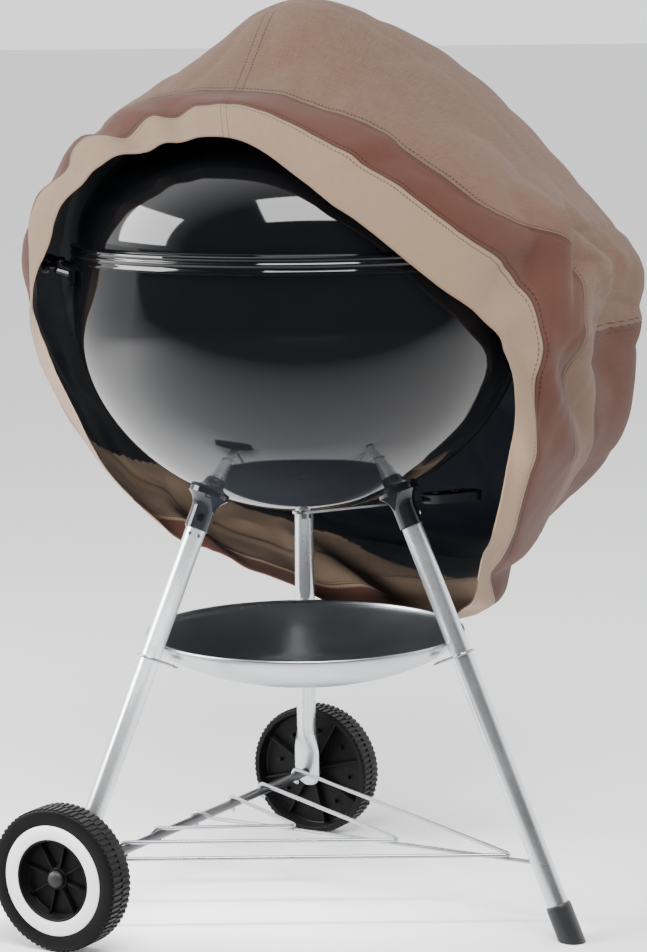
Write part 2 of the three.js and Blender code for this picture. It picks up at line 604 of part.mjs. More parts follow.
for (let k = 0; k < 3; k++)
  rest(`charcoal_grate_rest_${k + 1}`, 120 * k, COAL_GRATE_RADIUS - 10, COAL_GRATE_Z - 5.6, 26);

// ---------- ash sweeper ----------
// Three curved blades on a hub pass close over the bottom of the bowl. A spindle joins them to the lever.
const BLADE_REACH = 148;
const BLADE_WIDTH = 42;
const HUB_RADIUS = 17;
const SPINDLE_RADIUS = 5.4;
const bladeFace = (inset) => ellipseArc(
  BOWL_RADIUS - SHEET - inset, BOWL_DEPTH - SHEET - inset, SPINDLE_RADIUS + GAP, 8).slice(0, 5);
const bladeShell = turned([...bladeFace(1.4), ...bladeFace(3.2).reverse()], 24);
const bladeMask = joined([0, 120, 240].map((angle) => solid(
  geometryOf(box(BLADE_REACH, BLADE_WIDTH, 90, BLADE_REACH / 2, 0, 470)),
  new THREE.Matrix4().makeRotationZ(rad(LEVER_ANGLE + angle)))));
const hubBottom = BOWL_WIDEST_Z - BOWL_DEPTH + SHEET + 2.4;
place('ash_sweeper', bladeShell.intersect(bladeMask).add(turned([
  [SPINDLE_RADIUS + GAP, hubBottom], [HUB_RADIUS, hubBottom + 0.8],
  [HUB_RADIUS - 3, hubBottom + 5], [SPINDLE_RADIUS + GAP, hubBottom + 5],
], 24)), aluminium);

const STRAP_THICKNESS = 2.4;
const strapTop = LEVER_Z + STRAP_THICKNESS / 2;
const strapBottom = LEVER_Z - STRAP_THICKNESS / 2;
place('sweep_spindle', turned([
  [0, strapBottom - 5.5], [8, strapBottom - 5.5], [8, strapBottom - GAP], [SPINDLE_RADIUS, strapBottom - GAP],
  [SPINDLE_RADIUS, hubBottom + 5 + GAP], [9, hubBottom + 5 + GAP], [9, hubBottom + 10], [0, hubBottom + 12],
], 18), chrome);

// ---------- sweep lever ----------
const lever = new THREE.Group();
lever.rotation.z = rad(LEVER_ANGLE);
group.add(lever);
const STRAP_HALF = 9;
const STRAP_END = 196;
const GRIP_FROM = 150, GRIP_TO = 222, GRIP_HALF = 14;

function flatBar(fromX, toX, halfWidth, low, high, segments) {
  const outline = new THREE.Shape();
  outline.absarc(toX - halfWidth, 0, halfWidth, -Math.PI / 2, Math.PI / 2);
  outline.absarc(fromX + halfWidth, 0, halfWidth, Math.PI / 2, (3 * Math.PI) / 2);
  const plate = new THREE.ExtrudeGeometry(outline, {
    depth: high - low, bevelEnabled: false, curveSegments: segments,
  });
  return solid(plate.translate(0, 0, low));
}
const RIVET_RADIUS = 2;
const rivetPlaces = { inner: 164, outer: 190 };
const rivetHole = (x) => cylinder(RIVET_RADIUS + GAP, point(x, 0, 400), point(x, 0, 450), 12);

let strap = flatBar(-13, STRAP_END, STRAP_HALF, strapBottom, strapTop, 8);
let leverGrip = flatBar(GRIP_FROM, GRIP_TO, GRIP_HALF, LEVER_Z - 4.5, LEVER_Z + 5, 8)
  .subtract(flatBar(GRIP_FROM - 60, STRAP_END + GAP, STRAP_HALF + GAP, strapBottom - GAP, strapTop + GAP, 8));
for (const x of Object.values(rivetPlaces)) {
  strap = strap.subtract(rivetHole(x));
  leverGrip = leverGrip.subtract(rivetHole(x));
}
strap = strap.subtract(cylinder(SPINDLE_RADIUS + GAP, point(0, 0, 400), point(0, 0, 450), 18));
place('sweep_lever', strap, chrome, lever);
place('sweep_lever_grip', leverGrip, nylon, lever);
for (const [name, x] of Object.entries(rivetPlaces)) {
  const rivet = turned([
    [0, LEVER_Z - 6.4], [4, LEVER_Z - 6], [4.2, LEVER_Z - 4.5 - GAP], [RIVET_RADIUS, LEVER_Z - 4.5 - GAP],
    [RIVET_RADIUS, LEVER_Z + 5 + GAP], [4.2, LEVER_Z + 5 + GAP], [3.6, LEVER_Z + 6.6], [0, LEVER_Z + 7.2],
  ], 14);
  const moved = new THREE.Matrix4().makeTranslation(x, 0, 0);
  place(`lever_rivet_${name}`, solid(geometryOf(rivet), moved), chrome, lever);
}

// ---------- weather cover ----------
// A fabric drum tipped back over the kettle like a hood. Each hoop runs round it anticlockwise as seen
// from the front, from the right-hand side, and the hoops run from the mouth back to the closed end.
const coverHoops = [
  // folded edge of the mouth
  [[215, -120, 580], [195, -170, 650], [140, -215, 705], [45, -230, 780], [-60, -190, 845], [-140, -160, 820],
    [-225, -130, 780], [-265, -70, 670], [-255, 50, 550], [-175, 190, 395], [-5, 260, 295], [150, 150, 275],
    [195, -20, 390]],
  // seam between the hem and the first band
  [[245, -95, 555], [225, -125, 670], [155, -200, 735], [50, -200, 810], [-65, -150, 860], [-140, -115, 845],
    [-240, -80, 805], [-285, -30, 685], [-280, 100, 575], [-190, 225, 405], [-5, 290, 305], [185, 190, 275],
    [215, 30, 365]],
  // seam between the first band and the main panel
  [[290, -40, 610], [285, -35, 690], [175, -165, 760], [60, -155, 840], [-50, -95, 870], [-150, -50, 865],
    [-250, 20, 790], [-290, 90, 670], [-270, 200, 540], [-180, 300, 405], [5, 350, 315], [205, 280, 300],
    [280, 80, 435]],
  // crest, where the panel passes over the lid and falls behind it
  [[320, 80, 610], [345, 110, 680], [305, 90, 730], [140, 80, 895], [-10, 90, 960], [-120, 110, 890],
    [-225, 140, 815], [-270, 220, 670], [-245, 320, 535], [-145, 400, 415], [20, 430, 335], [210, 380, 305],
    [320, 200, 450]],
  // edge of the round end panel
  [[380, 240, 590], [380, 230, 655], [335, 280, 720], [160, 300, 880], [15, 300, 920], [-115, 320, 865],
    [-210, 360, 785], [-245, 420, 655], [-220, 470, 530], [-125, 500, 425], [30, 520, 360], [215, 500, 335],
    [360, 400, 445]],
];
const endPanelMiddle = point(75, 440, 640);
const AROUND = 36;
const hoopCurves = coverHoops.map((hoop) => new THREE.CatmullRomCurve3(hoop.map((p) => point(...p)), true));

// One run of the fabric from the middle of the end panel to the mouth, at a place round the hoops.
const coverRun = (turn) => {
  const across = hoopCurves.map((curve) => curve.getPoint(turn)).reverse();
  const run = new THREE.CatmullRomCurve3([endPanelMiddle, ...across]);
  const RUN_STEPS = 10;
  return Array.from({ length: RUN_STEPS }, (_, j) => run.getPoint((j + 1) / RUN_STEPS));
};
const runs = Array.from({ length: AROUND }, (_, i) => coverRun(i / AROUND));
const outerRings = runs[0].map((_, j) => runs.map((run) => run[j]));
const outerSkin = new THREE.BufferGeometry().setFromPoints([endPanelMiddle, ...outerRings.flat()]);
const skinIndex = [];
for (let i = 0; i < AROUND; i++) {
  const next = (i + 1) % AROUND;
  skinIndex.push(0, 1 + i, 1 + next);
  for (let j = 0; j + 1 < outerRings.length; j++) {
    const here = 1 + j * AROUND, below = here + AROUND;
    skinIndex.push(here + i, below + i, here + next);
    skinIndex.push(here + next, below + i, below + next);
  }
}
outerSkin.setIndex(skinIndex);
outerSkin.computeVertexNormals();
const moved = (k) => new THREE.Vector3().fromBufferAttribute(outerSkin.attributes.position, k)
  .addScaledVector(new THREE.Vector3().fromBufferAttribute(outerSkin.attributes.normal, k), -COVER_THICKNESS);
const skinCount = 1 + outerRings.length * AROUND;
const bothSkins = Array.from({ length: skinCount }, (_, k) =>
  new THREE.Vector3().fromBufferAttribute(outerSkin.attributes.position, k));
for (let k = 0; k < skinCount; k++) bothSkins.push(moved(k));
const coverIndex = [...skinIndex];
for (let k = 0; k < skinIndex.length; k += 3)
  coverIndex.push(...[2, 1, 0].map((corner) => skinCount + skinIndex[k + corner]));
for (let i = 0; i < AROUND; i++) {
  const a = skinCount - AROUND + i, b = skinCount - AROUND + ((i + 1) % AROUND);
  coverIndex.push(b, a, skinCount + a, b, skinCount + a, skinCount + b);
}
const coverSkins = new THREE.BufferGeometry().setFromPoints(bothSkins).setIndex(coverIndex);
place('weather_cover', solid(coverSkins), fabric);

// The origin is on the floor, under the middle of the whole object.
const overall = new THREE.Box3().setFromObject(group, true);
const middle = overall.getCenter(new THREE.Vector3());
group.position.set(-middle.x, -middle.y, -overall.min.z);

export default group;
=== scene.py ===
import math

import bmesh
import bpy
import numpy as np
from mathutils import Matrix, Vector, noise


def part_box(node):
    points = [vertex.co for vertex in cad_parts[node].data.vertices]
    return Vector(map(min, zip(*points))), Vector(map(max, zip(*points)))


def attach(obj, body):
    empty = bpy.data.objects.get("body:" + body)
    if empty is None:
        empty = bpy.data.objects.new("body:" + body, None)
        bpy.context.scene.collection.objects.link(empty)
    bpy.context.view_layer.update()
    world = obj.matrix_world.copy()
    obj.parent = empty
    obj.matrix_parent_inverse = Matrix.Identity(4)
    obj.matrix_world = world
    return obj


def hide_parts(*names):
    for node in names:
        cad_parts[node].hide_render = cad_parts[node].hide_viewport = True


# A 47 cm kettle charcoal grill on its three-legged stand, with its fabric weather cover drawn
# half back over it. Metres, +Z up, front towards -Y.
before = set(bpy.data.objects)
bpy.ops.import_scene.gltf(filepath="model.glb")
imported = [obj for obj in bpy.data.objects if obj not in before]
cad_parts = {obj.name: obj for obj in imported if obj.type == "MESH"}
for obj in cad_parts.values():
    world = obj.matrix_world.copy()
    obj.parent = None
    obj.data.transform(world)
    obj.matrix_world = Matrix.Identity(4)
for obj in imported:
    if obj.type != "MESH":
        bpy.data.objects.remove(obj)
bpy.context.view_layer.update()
scene = bpy.context.scene

# ---------- camera ----------
# A long lens a little above the lid, looking slightly down. Everything turned on the grill stands
# about the bowl's upright axis, so that axis is found first.
bowl_low, bowl_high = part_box("bowl")
kettle_axis = Vector(((bowl_low.x + bowl_high.x) / 2, (bowl_low.y + bowl_high.y) / 2, 0))

camera_data = bpy.data.cameras.new("camera")
camera_data.lens = 115.65
camera = bpy.data.objects.new("camera", camera_data)
camera.matrix_world = (
    Matrix.Translation(kettle_axis + Vector((0, -3.2, 0.9314)))
    @ Matrix.Rotation(-0.0066, 4, "Z")
    @ Matrix.Rotation(math.pi / 2 - 0.1451, 4, "X")
    @ Matrix.Rotation(-0.011, 4, "Z")
)
scene.collection.objects.link(camera)
scene.camera = camera


# ---------- bowl ----------
# Deep-drawn sheet steel bowl with a rolled rim and three ash slots in its bottom, coated inside
# and out with gloss black porcelain enamel.
def paint(red, green, blue):
    """A display colour, 0 to 255, as the linear values that shaders use."""
    return tuple(
        ((c / 255 + 0.055) / 1.055) ** 2.4 if c > 10 else c / 255 / 12.92
        for c in (red, green, blue)
    )


def new_group(name, values, outputs):
    """A shader node group with named number inputs and outputs, and its input and output nodes."""
    group = bpy.data.node_groups.new(name, "ShaderNodeTree")
    for label, value in values.items():
        socket = group.interface.new_socket(label, in_out="INPUT", socket_type="NodeSocketFloat")
        socket.default_value = value
    for label in outputs:
        group.interface.new_socket(label, in_out="OUTPUT", socket_type="NodeSocketFloat")
    return group, group.nodes.new("NodeGroupInput"), group.nodes.new("NodeGroupOutput")


def add(tree, kind, **settings):
    """A node in the tree, with sockets given by name and a link wherever a socket is given."""
    node = tree.nodes.new(kind)
    sockets = settings.pop("sockets", {})
    for key, value in settings.items():
        setattr(node, key, value)
    for key, value in sockets.items():
        if isinstance(value, bpy.types.NodeSocket):
            tree.links.new(value, node.inputs[key])
        else:
            node.inputs[key].default_value = value
    return node


def reckon(tree, operation, *values):
    """A maths node on numbers or sockets, as the socket that gives its result."""
    sockets = dict(enumerate(values))
    return add(tree, "ShaderNodeMath", operation=operation, sockets=sockets).outputs["Value"]


# Cloudy variation and fine grain, fixed to the piece.
mottle, mottle_in, mottle_out = new_group(
    "mottle and grain", {"Mottle scale": 14.0, "Grain scale": 300.0}, ["Mottle", "Grain"])
place = add(mottle, "ShaderNodeTexCoord")
clouds = add(mottle, "ShaderNodeTexNoise", sockets={
    "Vector": place.outputs["Object"], "Scale": mottle_in.outputs["Mottle scale"], "Detail": 4.0})
grain = add(mottle, "ShaderNodeTexNoise", sockets={
    "Vector": place.outputs["Object"], "Scale": mottle_in.outputs["Grain scale"], "Detail": 2.0})
mottle.links.new(clouds.outputs["Fac"], mottle_out.inputs["Mottle"])
mottle.links.new(grain.outputs["Fac"], mottle_out.inputs["Grain"])

# Dust settles on faces that look up, in patches.
dust, dust_in, dust_out = new_group("settled dust", {"Amount": 0.3}, ["Dust"])
facing = add(dust, "ShaderNodeNewGeometry")
up = add(dust, "ShaderNodeSeparateXYZ", sockets={"Vector": facing.outputs["Normal"]})
rise = add(dust, "ShaderNodeMapRange", sockets={
    "Value": up.outputs["Z"], "From Min": 0.2, "From Max": 1.0, "To Min": 0.0, "To Max": 1.0})
patches = add(dust, "ShaderNodeTexNoise", sockets={
    "Vector": add(dust, "ShaderNodeTexCoord").outputs["Object"], "Scale": 40.0, "Detail": 6.0})
settled = reckon(dust, "MULTIPLY", rise.outputs["Result"], patches.outputs["Fac"])
dusted = reckon(dust, "MULTIPLY", settled, dust_in.outputs["Amount"])
dust.links.new(dusted, dust_out.inputs["Dust"])


def new_finish(name, dark, light, rough, metallic=0.0, bump=0.02, bump_depth=0.0004,
               mottle_scale=14.0, grain_scale=300.0, dust_amount=0.0):
    """A material whose colour and roughness drift between two values, with a fine bump."""
    material = bpy.data.materials.new(name)
    material.use_nodes = True
    tree = material.node_tree
    shader = tree.nodes["Principled BSDF"]
    shader.inputs["Metallic"].default_value = metallic
    surface = add(tree, "ShaderNodeGroup", node_tree=mottle, sockets={
        "Mottle scale": mottle_scale, "Grain scale": grain_scale})
    colour = add(tree, "ShaderNodeMix", data_type="RGBA", sockets={
        "Factor": surface.outputs["Mottle"], "A": (*dark, 1), "B": (*light, 1)})
    shade = colour.outputs["Result"]
    if dust_amount:
        settled = add(tree, "ShaderNodeGroup", node_tree=dust, sockets={"Amount": dust_amount})
        dusty = add(tree, "ShaderNodeMix", data_type="RGBA", sockets={
            "Factor": settled.outputs["Dust"], "A": shade, "B": (*paint(150, 146, 140), 1)})
        shade = dusty.outputs["Result"]
    tree.links.new(shade, shader.inputs["Base Color"])
    sheen = add(tree, "ShaderNodeMapRange", sockets={
        "Value": surface.outputs["Mottle"], "From Min": 0.3, "From Max": 0.7,
        "To Min": rough[0], "To Max": rough[1]})
    tree.links.new(sheen.outputs["Result"], shader.inputs["Roughness"])
    relief = add(tree, "ShaderNodeBump", sockets={
        "Strength": bump, "Distance": bump_depth, "Height": surface.outputs["Grain"]})
    tree.links.new(relief.outputs["Normal"], shader.inputs["Normal"])
    return material


def piece_from(bm, name, material, body, slot, *nodes, smooth=True):
    """The bmesh as a finished object that rides on a body and stands for the CAD nodes named."""
    mesh = bpy.data.meshes.new(name)
    bm.to_mesh(mesh)
    bm.free()
    mesh.materials.append(material)
    for face in mesh.polygons:
        face.use_smooth = smooth
    obj = bpy.data.objects.new(name, mesh)
    scene.collection.objects.link(obj)
    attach(obj, body)
    if nodes:
        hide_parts(*nodes)
    return obj


def spun(profile, steps, way=None):
    """A profile of (radius, height) pairs turned about +Z, then put in place."""
    bm = bmesh.new()
    corners = [bm.verts.new((r, 0, z)) for r, z in profile]
    pairs = list(zip(corners, corners[1:]))
    if profile[0][0] or profile[-1][0]:               # a profile that doesn't end on the axis is a loop
        pairs.append((corners[-1], corners[0]))
    edges = [bm.edges.new(pair) for pair in pairs]
    bmesh.ops.spin(bm, geom=corners + edges, cent=(0, 0, 0), axis=(0, 0, 1),
                   angle=2 * math.pi, steps=steps, use_merge=True, use_duplicate=False)
    bmesh.ops.remove_doubles(bm, verts=bm.verts, dist=1e-6)
    bmesh.ops.recalc_face_normals(bm, faces=bm.faces)
    bmesh.ops.transform(bm, matrix=way or Matrix.Translation(kettle_axis), verts=bm.verts)
    return bm


def rounded_block(bm, size, way, soften=0.0, segments=2):
    """A box with softened edges, added to a bmesh."""
    made = bmesh.ops.create_cube(bm, size=1.0, matrix=way @ Matrix.Diagonal((*size, 1)))["verts"]
    if soften:
        edges = list({e for v in made for e in v.link_edges})
        bmesh.ops.bevel(bm, geom=edges, offset=soften, offset_type="OFFSET", affect="EDGES",
                        segments=segments, profile=0.5, material=-1)


def drill(bm, way, radius, depth, segments, far_radius=None):
    """A capped cylinder along the way's own Z, added to a bmesh as a peg or as a hole to be cut."""
    bmesh.ops.create_cone(bm, cap_ends=True, segments=segments, radius1=radius,
                          radius2=far_radius or radius, depth=depth, matrix=way)


def turn_towards(direction):
    """The turn that takes +Z to a direction."""
    return Vector((0, 0, 1)).rotation_difference(direction).to_matrix().to_4x4()


def carved(obj, cutter):
    """Cuts one mesh out of another for good, and shades it by angle."""
    mesh = bpy.data.meshes.new("cutter")
    cutter.to_mesh(mesh)
    cutter.free()
    tool = bpy.data.objects.new("cutter", mesh)
    scene.collection.objects.link(tool)
    cut = obj.modifiers.new("cut", "BOOLEAN")
    cut.operation, cut.solver, cut.object = "DIFFERENCE", "EXACT", tool
    bpy.context.view_layer.update()
    result = bpy.data.meshes.new_from_object(obj.evaluated_get(bpy.context.evaluated_depsgraph_get()))
    obj.modifiers.clear()
    obj.data = result
    bpy.data.objects.remove(tool)
    obj.data.set_sharp_from_angle(angle=math.radians(35))


gloss_enamel = new_finish("gloss black enamel", paint(9, 10, 12), paint(13, 14, 17), (0.05, 0.08),
                          bump=0.012, bump_depth=0.0003, mottle_scale=5.0, grain_scale=90.0)
gloss_enamel.node_tree.nodes["Principled BSDF"].inputs["Specular IOR Level"].default_value = 0.55

bowl_radius, bowl_depth, widest_z, sheet_steel = 0.239, 0.220, 0.650, 0.0016


def bowl_curve(inset):
    """A quarter of an ellipse from the spindle hole to the widest height, at an inset from the outside."""
    radius, depth = bowl_radius - inset, bowl_depth - inset
    spindle_hole, steps = 0.006, 40
    start = math.asin(spindle_hole / radius)
    angles = [start + (math.pi / 2 - start) * i / steps for i in range(steps + 1)]
    return [(radius * math.sin(a), widest_z - depth * math.cos(a)) for a in angles]


rim_roll = [
    (bowl_radius - 0.0005, 0.668), (bowl_radius - 0.0010, 0.686), (bowl_radius - 0.0018, 0.700),
    (bowl_radius - 0.0018, 0.7030), (bowl_radius - 0.0015, 0.7055), (bowl_radius - 0.0019, 0.7085),
    (bowl_radius - 0.0028, 0.7100), (bowl_radius - 0.0046, 0.7085), (bowl_radius - 0.0052, 0.7055),
    (bowl_radius - 0.0044, 0.7025), (bowl_radius - 0.0032, 0.700), (bowl_radius - 0.0026, 0.680)]
bowl = piece_from(spun(bowl_curve(0) + rim_roll + bowl_curve(sheet_steel)[::-1], 160),
                  "kettle_bowl", gloss_enamel, "stand", "enamel", "bowl")
slots = bmesh.new()
for k in range(3):
    way = Matrix.Translation(kettle_axis) @ Matrix.Rotation(math.radians(90 + 120 * k), 4, "Z")
    ends = []
    for reach in (0.042, 0.078):
        for height in (0.420, 0.470):
            end = way @ Matrix.Translation((reach, 0, height))
            ends += bmesh.ops.create_circle(slots, segments=24, radius=0.0075, matrix=end)["verts"]
    bmesh.ops.convex_hull(slots, input=ends)
    loose = [v for v in slots.verts if not v.link_faces]
    bmesh.ops.delete(slots, geom=loose, context="VERTS")
    stray = [e for e in slots.edges if not e.link_faces]
    bmesh.ops.delete(slots, geom=stray, context="EDGES")
bmesh.ops.recalc_face_normals(slots, faces=slots.faces)
carved(bowl, slots)

# ---------- lid ----------
# Domed lid of the same enamelled sheet, with a skirt that laps over the bowl's rim and two pressed
# beads. The vent's seat is pressed into its rear slope, under the turning damper.
dome_base, dome_radius, dome_height = 0.7155, 0.234, 0.140


def dome_curve(inset):
    """A quarter of an ellipse from the dome's base to its top, at an inset from the outside."""
    radius, height = dome_radius - inset, dome_height - inset
    steps = 44
    angles = [math.pi / 2 * i / steps for i in range(steps)]
    return [(radius * math.cos(a), dome_base + height * math.sin(a)) for a in angles] + [
        (0.0, dome_base + dome_height - inset)]


skirt = [
    (0.2394, 0.6958), (0.2402, 0.6955), (0.2409, 0.6960), (0.2410, 0.6975), (0.2406, 0.6990),
    (0.2396, 0.7005), (0.2394, 0.7020), (0.2398, 0.7034), (0.2407, 0.7042), (0.2410, 0.7052),
    (0.2407, 0.7062), (0.2399, 0.7070), (0.2396, 0.7084), (0.2400, 0.7096), (0.2406, 0.7105),
    (0.2404, 0.7122), (0.2394, 0.7133), (0.2375, 0.7138), (0.2358, 0.7141)]
lid_outer = skirt + dome_curve(0)
lid_inner = dome_curve(sheet_steel)[::-1] + [
    (0.2340, 0.7124), (0.2372, 0.7120), (0.2384, 0.7105), (0.2381, 0.7040)]
lid = piece_from(spun(lid_outer[::-1] + lid_inner[::-1], 160), "kettle_lid", gloss_enamel,
                 "lid", "enamel", "lid")

vent_angle, vent_radius = math.radians(100), 0.118
vent_rise = dome_height * math.sqrt(1 - (vent_radius / dome_radius) ** 2)
vent_centre = Vector((vent_radius * math.cos(vent_angle), vent_radius * math.sin(vent_angle),
                      dome_base + vent_rise))
vent_normal = Vector((vent_centre.x / dome_radius ** 2, vent_centre.y / dome_radius ** 2,
                      vent_rise / dome_height ** 2)).normalized()
vent_way = Matrix.Translation(kettle_axis + vent_centre) @ turn_towards(vent_normal)
seat = spun([(0.0, -0.0075), (0.0, 0.0021), (0.0305, 0.0021), (0.0322, 0.0016), (0.0330, 0.0004),
             (0.0330, -0.0020), (0.0300, -0.0075)], 64, vent_way)
vent_seat = piece_from(seat, "lid_vent_seat", gloss_enamel, "lid", "enamel")
vent_holes = bmesh.new()
for k in range(3):
    spot = Matrix.Rotation(math.radians(120 * k + 30), 4, "Z") @ Vector((0.017, 0, 0))
    drill(vent_holes, vent_way @ Matrix.Translation(spot), 0.0075, 0.04, 32)
hole_copy = vent_holes.copy()
carved(lid, vent_holes)
carved(vent_seat, hole_copy)

# ---------- lid damper, rivet and other small metal fittings ----------
# Stamped aluminium damper and sweeper, enamelled rods on the bowl, and plated steel for the lid's
# rod, the sweep lever, the rivets and the tabs that the grates rest on. All keep their CAD shapes.
satin_aluminium = new_finish(
    "satin aluminium", paint(150, 153, 155), paint(178, 181, 183), (0.28, 0.40),
    metallic=1.0, bump=0.10, bump_depth=0.0002, grain_scale=700.0, dust_amount=0.05)
bright_chrome = new_finish("bright chrome", paint(214, 217, 219), paint(232, 234, 236), (0.14, 0.24),
                           metallic=1.0, bump=0.03, bump_depth=0.0002, grain_scale=500.0)
plated_wire = new_finish(
    "plated wire", paint(172, 174, 177), paint(202, 204, 207), (0.22, 0.36),
    metallic=1.0, bump=0.06, bump_depth=0.0002, grain_scale=600.0, dust_amount=0.08)
axle_steel = new_finish("dull axle steel", paint(88, 88, 91), paint(118, 118, 121), (0.30, 0.45),
                        metallic=1.0, bump=0.08, bump_depth=0.0002, grain_scale=500.0, dust_amount=0.08)
black_nylon = new_finish("moulded black nylon", paint(18, 19, 21), paint(30, 31, 34), (0.36, 0.52),
                         bump=0.22, bump_depth=0.0004, grain_scale=900.0, dust_amount=0.12)


def dress(material, *names):
    """Gives CAD nodes their finish."""
    for name in names:
        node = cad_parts[name]
        node.data.materials.clear()
        node.data.materials.append(material)


dress(satin_aluminium, "lid_damper", "damper_rivet", "ash_sweeper")
dress(gloss_enamel, "bowl_handle_rod_left", "bowl_handle_rod_right")
dress(bright_chrome, "lid_handle_rod", "sweep_spindle", "sweep_lever", "lever_rivet_inner",
      "lever_rivet_outer", "leg_button_left", "leg_button_rear", "leg_button_right")
dress(plated_wire, *[f"cooking_grate_rest_{k}" for k in (1, 2, 3, 4)],
      *[f"charcoal_grate_rest_{k}" for k in (1, 2, 3)])
dress(black_nylon, "sweep_lever_grip")

# ---------- handle grips ----------
# Ribbed nylon grips on the bent rods: one on each side of the bowl and one across the lid's top.
def grip_profile(half_length, radius, bore):
    """Half the lengthwise section of a grip, with its ribs and softened ends."""
    ribs = 9
    outline = [(bore, -half_length), (radius - 0.0022, -half_length),
               (radius - 0.0008, -half_length + 0.0015)]
    pitch = (2 * half_length - 0.008) / ribs
    for k in range(ribs):
        start = -half_length + 0.004 + k * pitch
        outline += [(radius - 0.0012, start), (radius - 0.0002, start + 0.2 * pitch),
                    (radius - 0.0002, start + 0.75 * pitch), (radius - 0.0012, start + 0.95 * pitch)]
    return outline + [(radius - 0.0008, half_length - 0.0015), (radius - 0.0022, half_length),
                      (bore, half_length)]


for side, x in (("left", -0.265), ("right", 0.265)):
    way = Matrix.Translation(kettle_axis + Vector((x, 0, 0.692))) @ Matrix.Rotation(math.pi / 2, 4, "X")
    piece_from(spun(grip_profile(0.033, 0.0085, 0.0038), 48, way), f"bowl_grip_{side}", black_nylon,
               "stand", "nylon", f"bowl_handle_grip_{side}")
way = Matrix.Translation(kettle_axis + Vector((0, 0, 0.880))) @ Matrix.Rotation(math.pi / 2, 4, "Y")
piece_from(spun(grip_profile(0.030, 0.0085, 0.0038), 48, way), "lid_grip", black_nylon,
           "lid", "nylon", "lid_handle_grip")

# ---------- legs and sockets ----------
# Three chromed steel tubes push into enamelled sockets welded under the bowl, and spring buttons
# hold them. The two wheeled legs are squeezed flat at the foot for the axle.
tube_chrome = new_finish("satin chromed tube", paint(196, 199, 202), paint(222, 225, 227), (0.20, 0.32),
                         metallic=0.93, bump=0.04, bump_depth=0.0002, grain_scale=500.0)
leg_angles = {"left": 210, "rear": 90, "right": 330}
foot_radius, tilt = 0.3125, math.radians(23.6)
tube_radius = 0.011


def along_leg(z):
    """The length along a leg, from the floor, at a height."""
    return z / math.cos(tilt)


def leg_way(name):
    """A leg's own frame: its foot at zero and +Z up along the tube."""
    turn = math.radians(leg_angles[name])
    foot = kettle_axis + Vector((foot_radius * math.cos(turn), foot_radius * math.sin(turn), 0))
    return (Matrix.Translation(foot) @ Matrix.Rotation(turn, 4, "Z") @ Matrix.Rotation(-tilt, 4, "Y"))


def leg_spot(name, z):
    """The point of a leg's centre line at a height."""
    turn, reach = math.radians(leg_angles[name]), foot_radius - math.tan(tilt) * z
    return kettle_axis + Vector((reach * math.cos(turn), reach * math.sin(turn), z))


socket_foot = along_leg(0.419)
leg_top = socket_foot + 0.025
axle_z, axle_radius = 0.075, 0.0048
axle_ends = {name: leg_spot(name, axle_z) for name in ("left", "rear")}
axle_line = (axle_ends["rear"] - axle_ends["left"]).normalized()
paddle_end = along_leg(axle_z) - 0.017


def smooth_step(x, low, high):
    """An eased rise from 0 at low to 1 at high."""
    t = min(max((x - low) / (high - low), 0), 1)
    return t * t * (3 - 2 * t)


def tube_rings(bm, sections):
    """Joins rings of vertices one after another and closes both ends."""
    loops = []
    for ring_way in sections:
        made = bmesh.ops.create_circle(bm, radius=1.0, segments=40, matrix=ring_way)["verts"]
        loops.append(list({e for v in made for e in v.link_edges}))
    for one, other in zip(loops, loops[1:]):
        bmesh.ops.bridge_loops(bm, edges=one + other)
    for loop in (loops[0], loops[-1]):
        bmesh.ops.contextual_create(bm, geom=loop)
    bmesh.ops.recalc_face_normals(bm, faces=bm.faces)


button_turn = 62                # degrees about the leg, from its outer side
paddle_steps = (0, 0.4, 1.2, 2.4, 4, 6, 9, 12, 16, 22, 30, 38, 44, 50, 56, 62, 68, 76, 86)    # mm


def hole_at(name, turn, reach, z):
    """A way across a leg, at a turn and reach about its centre line and a length along it."""
    return (leg_way(name) @ Matrix.Rotation(math.radians(turn), 4, "Z")
            @ Matrix.Translation((reach, 0, z)) @ Matrix.Rotation(math.pi / 2, 4, "Y"))


for name, flat_turn in (("left", 32.2), ("rear", -32.2), ("right", None)):
    bm = bmesh.new()
    if flat_turn is None:
        heights = [0.016, 0.2, 0.4, leg_top]
    else:
        heights = [paddle_end + h / 1000 for h in paddle_steps] + [0.25, 0.35, leg_top]
    sections = []
    for s in heights:
        if flat_turn is None:
            wide = thin = tube_radius
        else:
            flat = 1 - smooth_step(s, 0.112, 0.148)
            from_end = min((s - paddle_end) / 0.016, 1)
            rounding = 0.30 + 0.68 * math.sqrt(1 - (1 - from_end) ** 2)
            wide = (tube_radius + (0.0168 - tube_radius) * flat) * rounding
            thin = tube_radius + (0.0028 - tube_radius) * flat
        sections.append(
            Matrix.Translation((0, 0, s)) @ Matrix.Rotation(math.radians(flat_turn or 0), 4, "Z")
            @ Matrix.Diagonal((thin, wide, 1, 1)))
    tube_rings(bm, sections)
    bmesh.ops.transform(bm, matrix=leg_way(name), verts=bm.verts)
    leg = piece_from(bm, f"tube_leg_{name}", tube_chrome, "stand", "chrome", f"leg_{name}")
    cuts = bmesh.new()
    drill(cuts, hole_at(name, button_turn, 0.0102, socket_foot + 0.012), 0.0035, 0.0215, 20)
    for aside in (-28, 28):
        drill(cuts, hole_at(name, button_turn + aside, 0.0115, socket_foot - 0.006), 0.0021, 0.016, 20)
    if flat_turn is not None:
        drill(cuts, Matrix.Translation(axle_ends[name]) @ turn_towards(axle_line), 0.0054, 0.05, 32)
    carved(leg, cuts)

